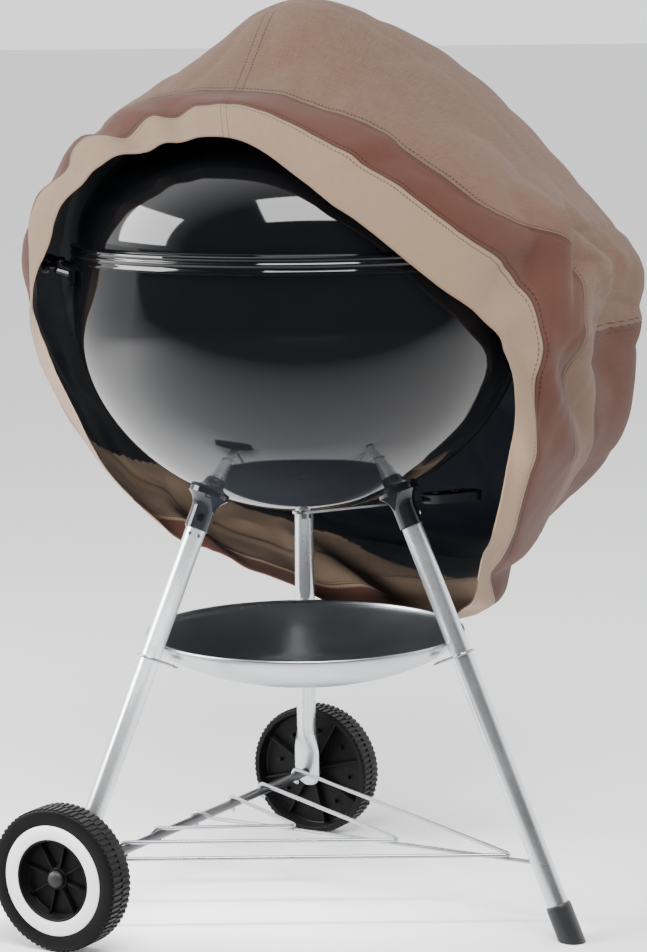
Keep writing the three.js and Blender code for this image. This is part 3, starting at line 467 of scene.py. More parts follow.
for name in leg_angles:
    sleeve = [(0.0113, 0), (0.0121, 0), (0.0128, 0.0008), (0.0128, 0.020), (0.0131, 0.024),
              (0.0142, 0.0285), (0.0165, 0.0325), (0.0195, 0.0352), (0.0218, 0.0372), (0.0218, 0.050),
              (0.0, 0.050), (0.0, 0.0262), (0.0113, 0.0262)]
    socket = piece_from(spun([(r, socket_foot + z) for r, z in sleeve], 56, leg_way(name)),
                        f"socket_{name}", gloss_enamel, "stand", "enamel", f"leg_socket_{name}")
    bowl_bottom = (0.0, widest_z - bowl_depth - 0.0003)
    carved(socket, spun([bowl_bottom] + bowl_curve(-0.0003)[1:] + [(0.0, 0.72)], 96))
    hole = bmesh.new()
    drill(hole, hole_at(name, button_turn, 0.0135, socket_foot + 0.012), 0.0036, 0.016, 24)
    carved(socket, hole)

# ---------- foot cap ----------
# Moulded cap pushed on the plain leg, cut level with the floor.
cap = spun([(0.0, -0.02), (0.0134, -0.02), (0.0134, 0.036), (0.0131, 0.0388), (0.0124, 0.040),
            (0.0113, 0.040), (0.0113, 0.0157), (0.0, 0.0157)], 48, leg_way("right"))
level = bmesh.ops.bisect_plane(cap, geom=cap.verts[:] + cap.edges[:] + cap.faces[:], plane_co=(0, 0, 0),
                               plane_no=(0, 0, -1), clear_outer=True)
bmesh.ops.holes_fill(cap, edges=[e for e in level["geom_cut"] if isinstance(e, bmesh.types.BMEdge)])
foot = piece_from(cap, "moulded_foot", black_nylon, "stand", "nylon", "foot_cap")
foot.data.set_sharp_from_angle(angle=math.radians(35))

# ---------- axle ----------
# One steel rod through both flattened legs, with a push-on cap outside each wheel.
past_leg, axle_bevel = 0.033, 0.0006
axle_way = Matrix.Translation(axle_ends["left"] - axle_line * past_leg) @ turn_towards(axle_line)
axle_length = (axle_ends["rear"] - axle_ends["left"]).length + 2 * past_leg
axle_profile = [
    (0, 0), (axle_radius - axle_bevel, 0), (axle_radius, axle_bevel),
    (axle_radius, axle_length - axle_bevel), (axle_radius - axle_bevel, axle_length), (0, axle_length)]
piece_from(spun(axle_profile, 32, axle_way), "wheel_axle", axle_steel, "stand", "wire", "axle")

# ---------- wheels ----------
# Moulded black plastic wheels, with two rows of staggered lugs round the tread, thin ribs in the
# recess on each side and a plain white ring let into the outer face.
wheel_plastic = new_finish(
    "moulded wheel plastic", paint(5, 5, 6), paint(11, 11, 12), (0.38, 0.52),
    bump=0.25, bump_depth=0.0004, mottle_scale=20.0, grain_scale=800.0, dust_amount=0.05)
wheel_plastic.node_tree.nodes["Principled BSDF"].inputs["Specular IOR Level"].default_value = 0.15
ring_plastic = new_finish(
    "white ring plastic", paint(222, 222, 227), paint(236, 236, 240), (0.30, 0.42),
    bump=0.05, bump_depth=0.0002, grain_scale=500.0, dust_amount=0.05)
wheel_profile = [
    (0.0052, -0.012), (0.0122, -0.012), (0.0130, -0.0112), (0.0137, -0.0020), (0.0640, -0.0020),
    (0.0655, -0.0030), (0.0676, -0.0165), (0.0682, -0.0170), (0.0722, -0.0170), (0.0730, -0.0162),
    (0.0733, -0.0150), (0.0733, 0.0150), (0.0730, 0.0162), (0.0718, 0.0168), (0.0690, 0.0170),
    (0.0585, 0.0170), (0.0577, 0.0166), (0.0577, 0.0150), (0.0427, 0.0150), (0.0427, 0.0164),
    (0.0423, 0.0170), (0.0412, 0.0170), (0.0406, 0.0164), (0.0388, 0.0040), (0.0380, 0.0030),
    (0.0130, 0.0030), (0.0122, 0.0036), (0.0115, 0.0074), (0.0108, 0.0080), (0.0052, 0.0080)]
ring_profile = [(0.0430, 0.0153), (0.0430, 0.0168), (0.0436, 0.0173), (0.0568, 0.0173),
                (0.0574, 0.0168), (0.0574, 0.0153)]
cap_profile = [(0.0, 0.0124), (0.0050, 0.0124), (0.0051, 0.0086), (0.0086, 0.0086), (0.0090, 0.0092),
               (0.0090, 0.0116), (0.0082, 0.0130), (0.0062, 0.0146), (0.0030, 0.0153), (0.0, 0.0154)]
lugs, ribs = 72, 8
for name, outward in (("left", -axle_line), ("rear", axle_line)):
    hub = Matrix.Translation(axle_ends[name] + outward * 0.021) @ turn_towards(outward)
    bm = spun(wheel_profile, 144, Matrix.Identity(4))
    for k in range(lugs):
        for row, shift in ((-0.0078, 0), (0.0078, 0.5)):
            turn = Matrix.Rotation(2 * math.pi * (k + shift) / lugs, 4, "Z")
            spot = turn @ Matrix.Translation((0.0736, 0, row))
            rounded_block(bm, (0.0024, 0.0038, 0.0150), spot, 0.0005, 1)
    for k in range(ribs):
        turn = Matrix.Rotation(2 * math.pi * k / ribs, 4, "Z")
        for size, spot in (((0.0275, 0.0022, 0.0060), (0.0255, 0, 0.0052)),
                           ((0.0510, 0.0022, 0.0090), (0.0392, 0, -0.0062))):
            rounded_block(bm, size, turn @ Matrix.Translation(spot), 0.0006)
        peg = turn @ Matrix.Rotation(math.pi / ribs, 4, "Z") @ Matrix.Translation((0.046, 0, -0.0045))
        drill(bm, peg, 0.0022, 0.007, 16, far_radius=0.0026)
    bmesh.ops.transform(bm, matrix=hub, verts=bm.verts)
    wheel = piece_from(bm, f"moulded_wheel_{name}", wheel_plastic, f"wheel_{name}", "wheel_plastic",
                       f"wheel_{name}")
    wheel.data.set_sharp_from_angle(angle=math.radians(32))
    white_ring = piece_from(spun(ring_profile, 144, hub), f"white_ring_{name}", ring_plastic,
                            f"wheel_{name}", "white_plastic", f"wheel_ring_{name}")
    white_ring.data.set_sharp_from_angle(angle=math.radians(50))
    piece_from(spun(cap_profile, 40, hub), f"push_cap_{name}", black_nylon, "stand", "nylon",
               f"axle_cap_{name}")

# ---------- ash pan ----------
# Shallow spun aluminium dish with a rolled rim. Its outside is bright satin, and its inside is given a
# darker, duller colour.
pan_outside = new_finish(
    "spun aluminium", paint(176, 180, 183), paint(198, 201, 204), (0.26, 0.36),
    metallic=1.0, bump=0.08, bump_depth=0.0002, mottle_scale=6.0, grain_scale=600.0)
pan_inside = new_finish(
    "darker inner aluminium", paint(80, 83, 87), paint(110, 114, 117), (0.24, 0.42),
    metallic=0.9, bump=0.10, bump_depth=0.0003, mottle_scale=9.0, grain_scale=500.0, dust_amount=0.10)
pan_floor, pan_rim = 0.250, 0.296
pan_outer = [(0.0, 0.0), (0.050, 0.0), (0.054, 0.0003), (0.075, 0.0022), (0.092, 0.0055),
             (0.108, 0.0100), (0.122, 0.0150), (0.136, 0.0208), (0.148, 0.0270), (0.158, 0.0340),
             (0.165, 0.0405), (0.1680, 0.0436)]
pan_roll = [(0.1692, 0.0452), (0.1700, 0.0470), (0.1696, 0.0488), (0.1682, 0.0496),
            (0.1666, 0.0492), (0.1658, 0.0478), (0.1656, 0.0462)]
pan_inner = [(0.1640, 0.0432), (0.1612, 0.0404), (0.1545, 0.0342), (0.1455, 0.0276), (0.1340, 0.0218),
             (0.1210, 0.0164), (0.1074, 0.0114), (0.0916, 0.0070), (0.0760, 0.0038), (0.0742, 0.0028),
             (0.0540, 0.0019), (0.0, 0.0016)]
pan_profile = [(r, pan_floor + z) for r, z in pan_outer + pan_roll + pan_inner]
pan = piece_from(spun(pan_profile, 144), "spun_pan", pan_outside, "stand", "aluminium", "ash_pan")
pan.data.materials.append(pan_inside)
for face in pan.data.polygons:
    middle = face.center - kettle_axis
    if face.normal.z > 0.12 and math.hypot(middle.x, middle.y) < 0.1655:
        face.material_index = 1

# ---------- wire work: pan clips and shelf ----------
# Bent plated wire. Three clips pass round the legs and carry the pan on small riveted plates. Three
# V-shaped wires hook over the axle, and a straight one ties their points to the plain leg.
def wire_along(name, lines, radius, material, body, slot, *nodes, sides=3):
    """Round wire along smooth lines of points, as one mesh."""
    curve = bpy.data.curves.new(name, "CURVE")
    curve.dimensions = "3D"
    curve.bevel_depth, curve.bevel_resolution, curve.use_fill_caps = radius, sides, True
    for points in lines:
        spline = curve.splines.new("POLY")
        spline.points.add(len(points) - 1)
        for slot_point, p in zip(spline.points, points):
            slot_point.co = (*p, 1)
    holder = bpy.data.objects.new(name, curve)
    scene.collection.objects.link(holder)
    bpy.context.view_layer.update()
    mesh = bpy.data.meshes.new_from_object(holder.evaluated_get(bpy.context.evaluated_depsgraph_get()))
    bpy.data.objects.remove(holder)
    bm = bmesh.new()
    bm.from_mesh(mesh)
    bmesh.ops.remove_doubles(bm, verts=bm.verts, dist=1e-7)
    bmesh.ops.recalc_face_normals(bm, faces=bm.faces)
    obj = piece_from(bm, name, material, body, slot, *nodes)
    obj.data.set_sharp_from_angle(angle=math.radians(50))
    return obj


for name in leg_angles:
    way = leg_way(name)
    clip_level, around = along_leg(pan_rim - 0.007), tube_radius + 0.0019
    loop = [(around * math.cos(a), around * math.sin(a))
            for a in np.linspace(-math.pi / 2, math.pi / 2, 20)]
    tail = [(-0.008, around), (-0.017, around - 0.002), (-0.026, around - 0.004)]
    line = [(x, -y) for x, y in tail[::-1]] + loop + tail
    wire_along(f"wire_clip_{name}", [[way @ Vector((x, y, clip_level)) for x, y in line]], 0.0016,
               plated_wire, "stand", "wire", f"pan_clip_{name}")
    plate = bmesh.new()
    plate_way = way @ Matrix.Translation((-0.025, 0, clip_level))
    rounded_block(plate, (0.0088, 2 * around - 0.0035, 0.0021), plate_way, 0.0006)
    for y in (-0.006, 0.006):
        head = plate_way @ Matrix.Translation((0, y, 0.0009)) @ Matrix.Diagonal((1, 1, 0.6, 1))
        bmesh.ops.create_uvsphere(plate, u_segments=16, v_segments=8, radius=0.0018, matrix=head)
    piece_from(plate, f"clip_plate_{name}", satin_aluminium, "stand", "aluminium")

shelf_radius = 0.0022
shelf_z = axle_z + axle_radius + shelf_radius + 0.0003
shelf_middle = (axle_ends["left"] + axle_ends["rear"]) / 2
half_axle = (axle_ends["rear"] - axle_ends["left"]).length / 2
leg_right_spot = leg_spot("right", axle_z)


def hook_over(axle_point, towards):
    """Points of a wire's end, from under the axle round its far side to the top."""
    inward = (towards - axle_point)
    inward.z = 0
    inward.normalize()
    stretch = 1 / inward.cross(axle_line).length
    reach, centre = shelf_z - axle_z, Vector((axle_point.x, axle_point.y, axle_z))
    return [centre - inward * stretch * reach * math.cos(a) + Vector((0, 0, reach * math.sin(a)))
            for a in np.radians(np.linspace(-100, 90, 16))]


for name, spread, reach in (("outer", 0.9, 0.915), ("middle", 0.585, 0.6), ("inner", 0.315, 0.3)):
    tip = shelf_middle.lerp(leg_right_spot, reach)
    tip.z = shelf_z
    ends = [shelf_middle + axle_line * side * spread * half_axle for side in (-1, 1)]
    for end in ends:
        end.z = shelf_z
    near = [tip + (end - tip).normalized() * 0.009 for end in ends]
    bend = [near[0] * (1 - t) ** 2 + tip * 2 * t * (1 - t) + near[1] * t * t
            for t in np.linspace(0.1, 0.9, 9)]
    line = hook_over(ends[0], tip) + [near[0]] + bend + [near[1]] + hook_over(ends[1], tip)[::-1]
    wire_along(f"shelf_{name}", [line], shelf_radius, plated_wire, "stand", "wire",
               f"shelf_wire_{name}", sides=4)
under = shelf_z - 2 * shelf_radius - 0.0003
tie_end = leg_spot("right", under)
tie_start = Vector((shelf_middle.x, shelf_middle.y, shelf_z))
tie_way = tie_end - tie_start
tie_way.z = 0
tie_way.normalize()
down = [tie_start + tie_way * (0.005 + 0.017 * t)
        - Vector((0, 0, (shelf_z - under) * smooth_step(t, 0, 1))) for t in np.linspace(0, 1, 8)]
tie_stop = tie_end - tie_way * (tube_radius / math.cos(tilt) + 0.001)
wire_along("shelf_tie", [hook_over(tie_start, tie_end) + down + [tie_stop]],
           shelf_radius, plated_wire, "stand", "wire", "shelf_wire_centre", sides=4)

# ---------- grates ----------
# Welded wire grates: a closely rodded one for food and a heavier one that carries the charcoal.
def rodded_grate(name, radius, ring_wire, rod_wire, pitch, z):
    """A ring with rods across it and two braces under them."""
    centre = kettle_axis + Vector((0, 0, z))
    ring = [centre + Vector((radius * math.cos(a), radius * math.sin(a), 0))
            for a in np.linspace(0, 2 * math.pi, 97)]
    rods = []
    for k in range(-int(radius / pitch), int(radius / pitch) + 1):
        half = math.sqrt(max(radius ** 2 - (k * pitch) ** 2, 0))
        if half > 0.02:
            rods.append([centre + Vector((-half, k * pitch, 0)), centre + Vector((half, k * pitch, 0))])
    braces = []
    for x in (-0.45 * radius, 0.45 * radius):
        half = math.sqrt(radius ** 2 - x * x)
        braces.append([centre + Vector((x, -half, -rod_wire)), centre + Vector((x, half, -rod_wire))])
    wire_along(f"{name}_ring", [ring] + braces, ring_wire, plated_wire, name, "wire", name)
    wire_along(f"{name}_rods", rods, rod_wire, plated_wire, name, "wire", sides=2)


rodded_grate("cooking_grate", 0.2165, 0.0025, 0.0018, 0.0144, 0.664)
rodded_grate("charcoal_grate", 0.167, 0.003, 0.0026, 0.021, 0.530)

# ---------- weather cover ----------
# Woven coated polyester cover, stitched from a beige hem, a rust band and taupe panels, with a
# dark coated inside. It is drawn half off, so it stands tipped back over the kettle like a hood.
# Each hoop is a seam's line round it, in millimetres about the kettle's axis, anticlockwise from the
# right. The skin is drawn smoothly through the hoops, and then it is folded and creased.
mouth_fold = [(215, -120, 575), (190, -178, 634), (135, -222, 682), (42, -236, 756), (-62, -197, 826),
              (-140, -160, 820), (-225, -130, 780), (-265, -70, 670), (-255, 50, 550), (-175, 190, 395),
              (-5, 260, 295), (150, 150, 275), (195, -20, 390)]
hem_seam = [(245, -95, 555), (225, -125, 670), (155, -200, 735), (50, -200, 810), (-65, -150, 860),
            (-140, -115, 845), (-240, -80, 805), (-285, -30, 685), (-280, 100, 575), (-190, 225, 405),
            (-5, 290, 305), (185, 190, 275), (215, 30, 365)]
band_seam = [(290, -40, 610), (285, -35, 690), (175, -165, 760), (60, -155, 840), (-50, -95, 870),
             (-150, -50, 865), (-250, 20, 790), (-290, 90, 670), (-270, 200, 540), (-180, 300, 405),
             (5, 350, 315), (205, 280, 300), (280, 80, 435)]
crest = [(320, 80, 610), (345, 110, 680), (305, 90, 730), (140, 80, 895), (-10, 90, 960),
         (-120, 110, 890), (-225, 140, 815), (-270, 220, 670), (-245, 320, 535), (-145, 400, 415),
         (20, 430, 335), (210, 380, 305), (320, 200, 450)]
end_seam = [(380, 240, 590), (380, 230, 655), (335, 280, 720), (160, 300, 880), (15, 300, 920),
            (-115, 320, 865), (-210, 360, 785), (-245, 420, 655), (-220, 470, 530), (-125, 500, 425),
            (30, 520, 360), (215, 500, 335), (360, 400, 445)]
end_middle = (75, 440, 640)


def eased_curve(points, at, ring):
    """A smooth line through points, of shape (count, ..., 3), read at places along it."""
    count = len(points)
    at = np.asarray(at, float)
    first = np.minimum(np.floor(at).astype(int), count - (1 if ring else 2))
    t = at - first

    def knot(k):
        if ring:
            return points[k % count]
        inner = points[np.clip(k, 0, count - 1)]
        before = 2 * points[0] - points[1]
        after = 2 * points[-1] - points[-2]
        shape = (-1,) + (1,) * (inner.ndim - 1)
        inner = np.where((k < 0).reshape(shape), before, inner)
        return np.where((k > count - 1).reshape(shape), after, inner)

    p0, p1, p2, p3 = (knot(first + k) for k in (-1, 0, 1, 2))
    gap = [np.maximum(np.linalg.norm(b - a, axis=-1, keepdims=True) ** 0.5, 1e-4)
           for a, b in ((p0, p1), (p1, p2), (p2, p3))]
    m1 = ((p1 - p0) / gap[0] - (p2 - p0) / (gap[0] + gap[1]) + (p2 - p1) / gap[1]) * gap[1]
    m2 = ((p2 - p1) / gap[1] - (p3 - p1) / (gap[1] + gap[2]) + (p3 - p2) / gap[2]) * gap[1]
    t = t.reshape((-1,) + (1,) * (p1.ndim - 1))
    return (p1 + m1 * t + (3 * (p2 - p1) - 2 * m1 - m2) * t ** 2 + (2 * (p1 - p2) + m1 + m2) * t ** 3)


hoop_points, around_count = len(mouth_fold), 336
steps_between = [18, 30, 30, 14, 16]                 # rings from the end panel's middle to the mouth
seams = [np.array(h, float) / 1000 for h in (end_seam, crest, band_seam, hem_seam, mouth_fold)]
turns = np.arange(around_count) * hoop_points / around_count      # the place round, in hoop points
hoops = [eased_curve(h, turns, True) for h in seams]
middle_rows = np.repeat(np.array([end_middle], float) / 1000, around_count, axis=0)
places = np.concatenate([k + np.arange(1, n + 1) / n for k, n in enumerate(steps_between)])
skin = eased_curve(np.stack([middle_rows] + hoops), places, False)      # (ring, place round, xyz)
ring_band = np.ceil(places - 1e-9).astype(int) - 1   # 0 end panel, 1 and 2 taupe, 3 rust, 4 hem


def skin_normals(points):
    """Outward normals of the skin."""
    round_way = np.roll(points, -1, axis=1) - np.roll(points, 1, axis=1)
    along_way = np.gradient(points, axis=0)
    normal = np.cross(along_way, round_way)
    normal /= np.maximum(np.linalg.norm(normal, axis=2, keepdims=True), 1e-9)
    outwards = points - points.mean(axis=(0, 1))
    return normal if (normal * outwards).sum() > 0 else -normal


# Lengths in metres round and along the cloth, for the weave, the stitches and the folds.
measured_ring = -30                                  # the ring that the lengths round are taken on
round_step = np.linalg.norm(np.roll(skin, -1, axis=1) - skin, axis=2)[measured_ring]
round_length = np.concatenate([np.zeros(1), np.cumsum(round_step)[:-1]])
along_step = np.linalg.norm(np.diff(skin, axis=0), axis=2).mean(axis=1)
along_length = np.concatenate([np.zeros(1), np.cumsum(along_step)])
seam_rows = np.cumsum(steps_between)[:-1] - 1
folds = np.zeros(skin.shape[:2])
for i in range(around_count):
    turn = 2 * math.pi * i / around_count
    for j in range(len(places)):
        x, y = math.cos(turn), math.sin(turn)
        depth = along_length[j]
        # long slack folds that run from mouth to crest, drifting as they go
        drift = 0.5 * math.sin(3.1 * depth + 2 * turn)
        slack = noise.noise(Vector((x * 3.4 + drift * 0.3, y * 3.4, depth * 2.2 + 3)))
        ridge = noise.noise(Vector((x * 5.2 + drift, y * 5.2 - drift, depth * 3.5 + 11)))
        crease = 1 - abs(ridge) * 3.2
        # the hem holds the cloth smooth near the mouth
        ease = 0.15 + 0.85 * smooth_step(along_length[-1] - depth, 0.02, 0.24)
        folds[j, i] = ease * (0.0065 * slack - 0.0042 * max(crease, 0) ** 3)
        folds[j, i] += ease * 0.0009 * noise.noise(Vector((x * 12, y * 12, depth * 16)))
# The hem is stiffer, with short waves at its edge, and the seams pull in and pucker.
for j in range(len(places)):
    near = min(abs(along_length[j] - along_length[k]) for k in seam_rows)
    pull = math.exp(-(near / 0.006) ** 2)
    pucker = (np.sin(round_length / 0.019 * 2 * math.pi) * 0.5
              + np.sin(round_length / 0.031 * 2 * math.pi + 1))
    folds[j] += -0.0016 * pull + 0.0005 * pucker * math.exp(-(near / 0.016) ** 2)
    edge = math.exp(-((along_length[-1] - along_length[j]) / 0.02) ** 2)
    folds[j] += edge * 0.0010 * np.sin(round_length / 0.17 * 2 * math.pi + 0.7)

# Creases where the cloth is pinched: place round and along at each end, width and depth.
for turn0, row0, turn1, row1, width, deep in (
        (5.15, 4.95, 5.60, 3.0, 0.012, 0.011), (5.95, 4.9, 6.2, 3.4, 0.014, 0.010),
        (6.6, 4.9, 7.3, 3.2, 0.014, 0.012), (7.0, 4.2, 8.3, 2.8, 0.018, 0.012),
        (0.5, 4.9, -0.6, 3.0, 0.016, 0.013), (1.3, 4.6, 0.9, 2.4, 0.016, 0.010),
        (0.1, 3.6, -0.8, 2.2, 0.020, 0.018), (-1.0, 4.6, -1.7, 2.8, 0.016, 0.012),
        (-2.4, 4.9, -3.0, 2.6, 0.018, 0.014), (-3.5, 4.8, -4.0, 2.6, 0.018, 0.012),
        (3.1, 4.9, 2.4, 2.6, 0.012, 0.006), (4.7, 4.9, 4.9, 3.1, 0.010, 0.005),
        (2.6, 2.9, 1.6, 1.9, 0.016, 0.008), (1.9, 2.4, 0.7, 2.0, 0.014, 0.010)):
    nearest = np.full(skin.shape[:2], 9.0)
    taper = np.zeros(skin.shape[:2])
    for s in np.linspace(0, 1, 40):
        j0 = min(np.searchsorted(places, row0 + (row1 - row0) * s), len(places) - 1)
        share = (turn0 + (turn1 - turn0) * s) % hoop_points / hoop_points
        i0 = int(round(share * around_count)) % around_count
        near = np.linalg.norm(skin - skin[j0, i0], axis=2)
        taper = np.where(near < nearest, math.sin(math.pi * (0.12 + 0.82 * s)), taper)
        nearest = np.minimum(nearest, near)
    folds -= deep * taper * np.exp(-(nearest / width) ** 2)
    folds += 0.4 * deep * taper * np.exp(-((nearest - 2.1 * width) / width) ** 2)
outer = skin + skin_normals(skin) * folds[..., None]
for _ in range(3):                                    # the cloth's own stiffness rounds the creases
    beside = np.roll(outer, 1, 1)[1:-1] + np.roll(outer, -1, 1)[1:-1]
    outer[1:-1] = 0.5 * outer[1:-1] + 0.125 * (outer[2:] + outer[:-2] + beside)
# Where it lies near the lid it stays just clear of the dome and the skirt.
clear_radius, clear_height = 0.250, 0.156
base_point = np.array([0, 0, dome_base])
over = outer - base_point
dome_share = np.sqrt((over[..., 0] ** 2 + over[..., 1] ** 2) / clear_radius ** 2
                     + (over[..., 2] / clear_height) ** 2)
inside_dome = (over[..., 2] >= 0) & (dome_share < 1)
outer = np.where(inside_dome[..., None],
                 over / np.maximum(dome_share, 0.2)[..., None] + base_point, outer)
reach = np.hypot(outer[..., 0], outer[..., 1])
by_skirt = (outer[..., 2] < dome_base) & (outer[..., 2] > 0.62) & (reach < clear_radius)
spread = np.where(by_skirt, clear_radius / np.maximum(reach, 0.1), 1.0)
outer = outer * np.stack([spread, spread, np.ones_like(spread)], axis=-1)
# It also clears the bowl's side handles.
handle_reach, handle_z = 0.2795, 0.692
sideways, lengthways, upright = np.abs(outer - np.array([0, 0, handle_z])).transpose(2, 0, 1)
by_handle = np.clip((0.105 - lengthways) / 0.050, 0, 1) * np.clip((0.085 - upright) / 0.045, 0, 1)
lack = np.clip(handle_reach - sideways, 0, 0.08) * (sideways > 0.2) * by_handle
outer[..., 0] += np.sign(outer[..., 0]) * lack
cloth_thickness = 0.0014
inner = outer - skin_normals(outer) * cloth_thickness

bm = bmesh.new()
axis_shift = np.array([kettle_axis.x, kettle_axis.y, 0])
uv_layer = bm.loops.layers.uv.new("cloth")
seam_layer = bm.verts.layers.float.new("seam_distance")
round_layer = bm.verts.layers.float.new("round_place")
panel_layer = bm.verts.layers.float.new("low_panel")
low_panel_top = 0.605           # the low rust panel's upper edge, above the floor
top_seam_turn = 4.12            # the place round the hoops of the seam over the top
rows = []
for points in (outer, inner):
    grid = []
    for j in range(len(places)):
        row = [bm.verts.new(p) for p in points[j] + axis_shift]
        for i, v in enumerate(row):
            low = min((2.0 - places[j]) * 0.2, low_panel_top - points[j][i][2])   # above 0 on the panel
            v[panel_layer] = low
            v[seam_layer] = min(abs(low), *[abs(along_length[j] - along_length[k]) for k in seam_rows[2:]])
            past_seam = (turns[i] - top_seam_turn + hoop_points / 2) % hoop_points - hoop_points / 2
            v[round_layer] = abs(past_seam) * 0.16      # roughly metres from the seam over the top
        grid.append(row)
    rows.append(grid)
crown = [bm.verts.new(Vector(end_middle) / 1000 + kettle_axis),
         bm.verts.new(Vector(end_middle) / 1000 + kettle_axis - Vector((0, cloth_thickness, 0)))]
# The hem is turned in all round the mouth, wide underneath, where the band folds in after it.
low_mouth = np.clip(np.minimum((turns - 8.5) / 0.7, (12.0 - turns) / 0.7), 0, 1)
rust_depth = 0.050 * low_mouth
beige_depth = 0.030 + np.interp(
    turns, (8.2, 8.9, 10.1, 10.8, 11.6, 12.0), (0, 0.22, 0.26, 0.12, 0.09, 0))
for layer, (grid, flip) in enumerate(zip(rows, (False, True))):
    for i in range(around_count):
        k = (i + 1) % around_count
        corners = [crown[layer], grid[0][i], grid[0][k]]
        cap_face = bm.faces.new(corners[::-1] if flip else corners)
        cap_face.material_index = 3 if flip else 0
        uvs = [(round_length[i], -0.15), (round_length[i], 0), (round_length[i] + 0.006, 0)]
        for loop, uv in zip(cap_face.loops, uvs[::-1] if flip else uvs):
            loop[uv_layer].uv = uv
        for j in range(len(places) - 1):
            corners = [grid[j][i], grid[j + 1][i], grid[j + 1][k], grid[j][k]]
            face = bm.faces.new(corners[::-1] if flip else corners)
            band = ring_band[j + 1]
            if flip:
                deep = along_length[-1] - along_length[j]
                face.material_index = 1 if deep < rust_depth[i] else 2 if deep < beige_depth[i] else 3
            else:
                face.material_index = {0: 0, 1: 0, 2: 0, 3: 1, 4: 2}[band]
            ends = (round_length[i], round_length[i] + round_step[i])
            uvs = [(ends[0], along_length[j]), (ends[0], along_length[j + 1]),
                   (ends[1], along_length[j + 1]), (ends[1], along_length[j])]
            for loop, uv in zip(face.loops, uvs[::-1] if flip else uvs):
                loop[uv_layer].uv = uv
for i in range(around_count):
    k = (i + 1) % around_count
    face = bm.faces.new([rows[0][-1][i], rows[1][-1][i], rows[1][-1][k], rows[0][-1][k]])
    face.material_index = 1 if low_mouth[i] > 0.5 else 2
    for loop in face.loops:
        loop[uv_layer].uv = (round_length[i], along_length[-1])

# Plain weave with thread shading. Its threads run round and along the cloth.
weave, weave_in, weave_out = new_group("plain weave", {"Thread pitch": 0.0016}, ["Height", "Thread"])
cloth_uv = add(weave, "ShaderNodeUVMap", uv_map="cloth")
split = add(weave, "ShaderNodeSeparateXYZ", sockets={"Vector": cloth_uv.outputs["UV"]})
waves = []
for axis in ("X", "Y"):
    count = reckon(weave, "DIVIDE", split.outputs[axis], weave_in.outputs["Thread pitch"])
    waves.append(reckon(weave, "SINE", reckon(weave, "MULTIPLY", count, math.pi)))
level = add(weave, "ShaderNodeMapRange", sockets={
    "Value": reckon(weave, "MULTIPLY", *waves),
    "From Min": -1.0, "From Max": 1.0, "To Min": 0.0, "To Max": 1.0})
yarns = []
for stretch in ((60.0, 900.0, 1.0), (900.0, 60.0, 1.0)):
    drawn = add(weave, "ShaderNodeMapping", sockets={
        "Vector": cloth_uv.outputs["UV"], "Scale": stretch}).outputs["Vector"]
    yarns.append(add(weave, "ShaderNodeTexNoise", sockets={
        "Vector": drawn, "Scale": 1.0, "Detail": 2.0}).outputs["Fac"])
thread = reckon(weave, "MULTIPLY", reckon(weave, "ADD", *yarns), 0.5)
weave.links.new(level.outputs["Result"], weave_out.inputs["Height"])
weave.links.new(thread, weave_out.inputs["Thread"])

# Two rows of lockstitch beside each seam, and a mask of the seam's groove, used for its bump and for its
# painted shade.
stitches, stitches_in, stitches_out = new_group(
    "seam stitches", {"Stitch length": 0.0042}, ["Stitch", "Groove"])
stitch_uv = add(stitches, "ShaderNodeSeparateXYZ", sockets={
    "Vector": add(stitches, "ShaderNodeUVMap", uv_map="cloth").outputs["UV"]})
made = {"Stitch": [], "Groove": []}
for attribute, axis in (("seam_distance", "X"), ("round_place", "Y")):
    gap = add(stitches, "ShaderNodeAttribute", attribute_name=attribute).outputs["Fac"]
    line = reckon(stitches, "COMPARE", gap, 0.0058, 0.0009)
    step = reckon(stitches, "DIVIDE", stitch_uv.outputs[axis], stitches_in.outputs["Stitch length"])
    dash = reckon(stitches, "LESS_THAN", reckon(stitches, "FRACT", step), 0.68)
    made["Stitch"].append(reckon(stitches, "MULTIPLY", line, dash))
    made["Groove"].append(reckon(stitches, "LESS_THAN", gap, 0.0011))
for label, masks in made.items():
    stitches.links.new(reckon(stitches, "MAXIMUM", *masks), stitches_out.inputs[label])


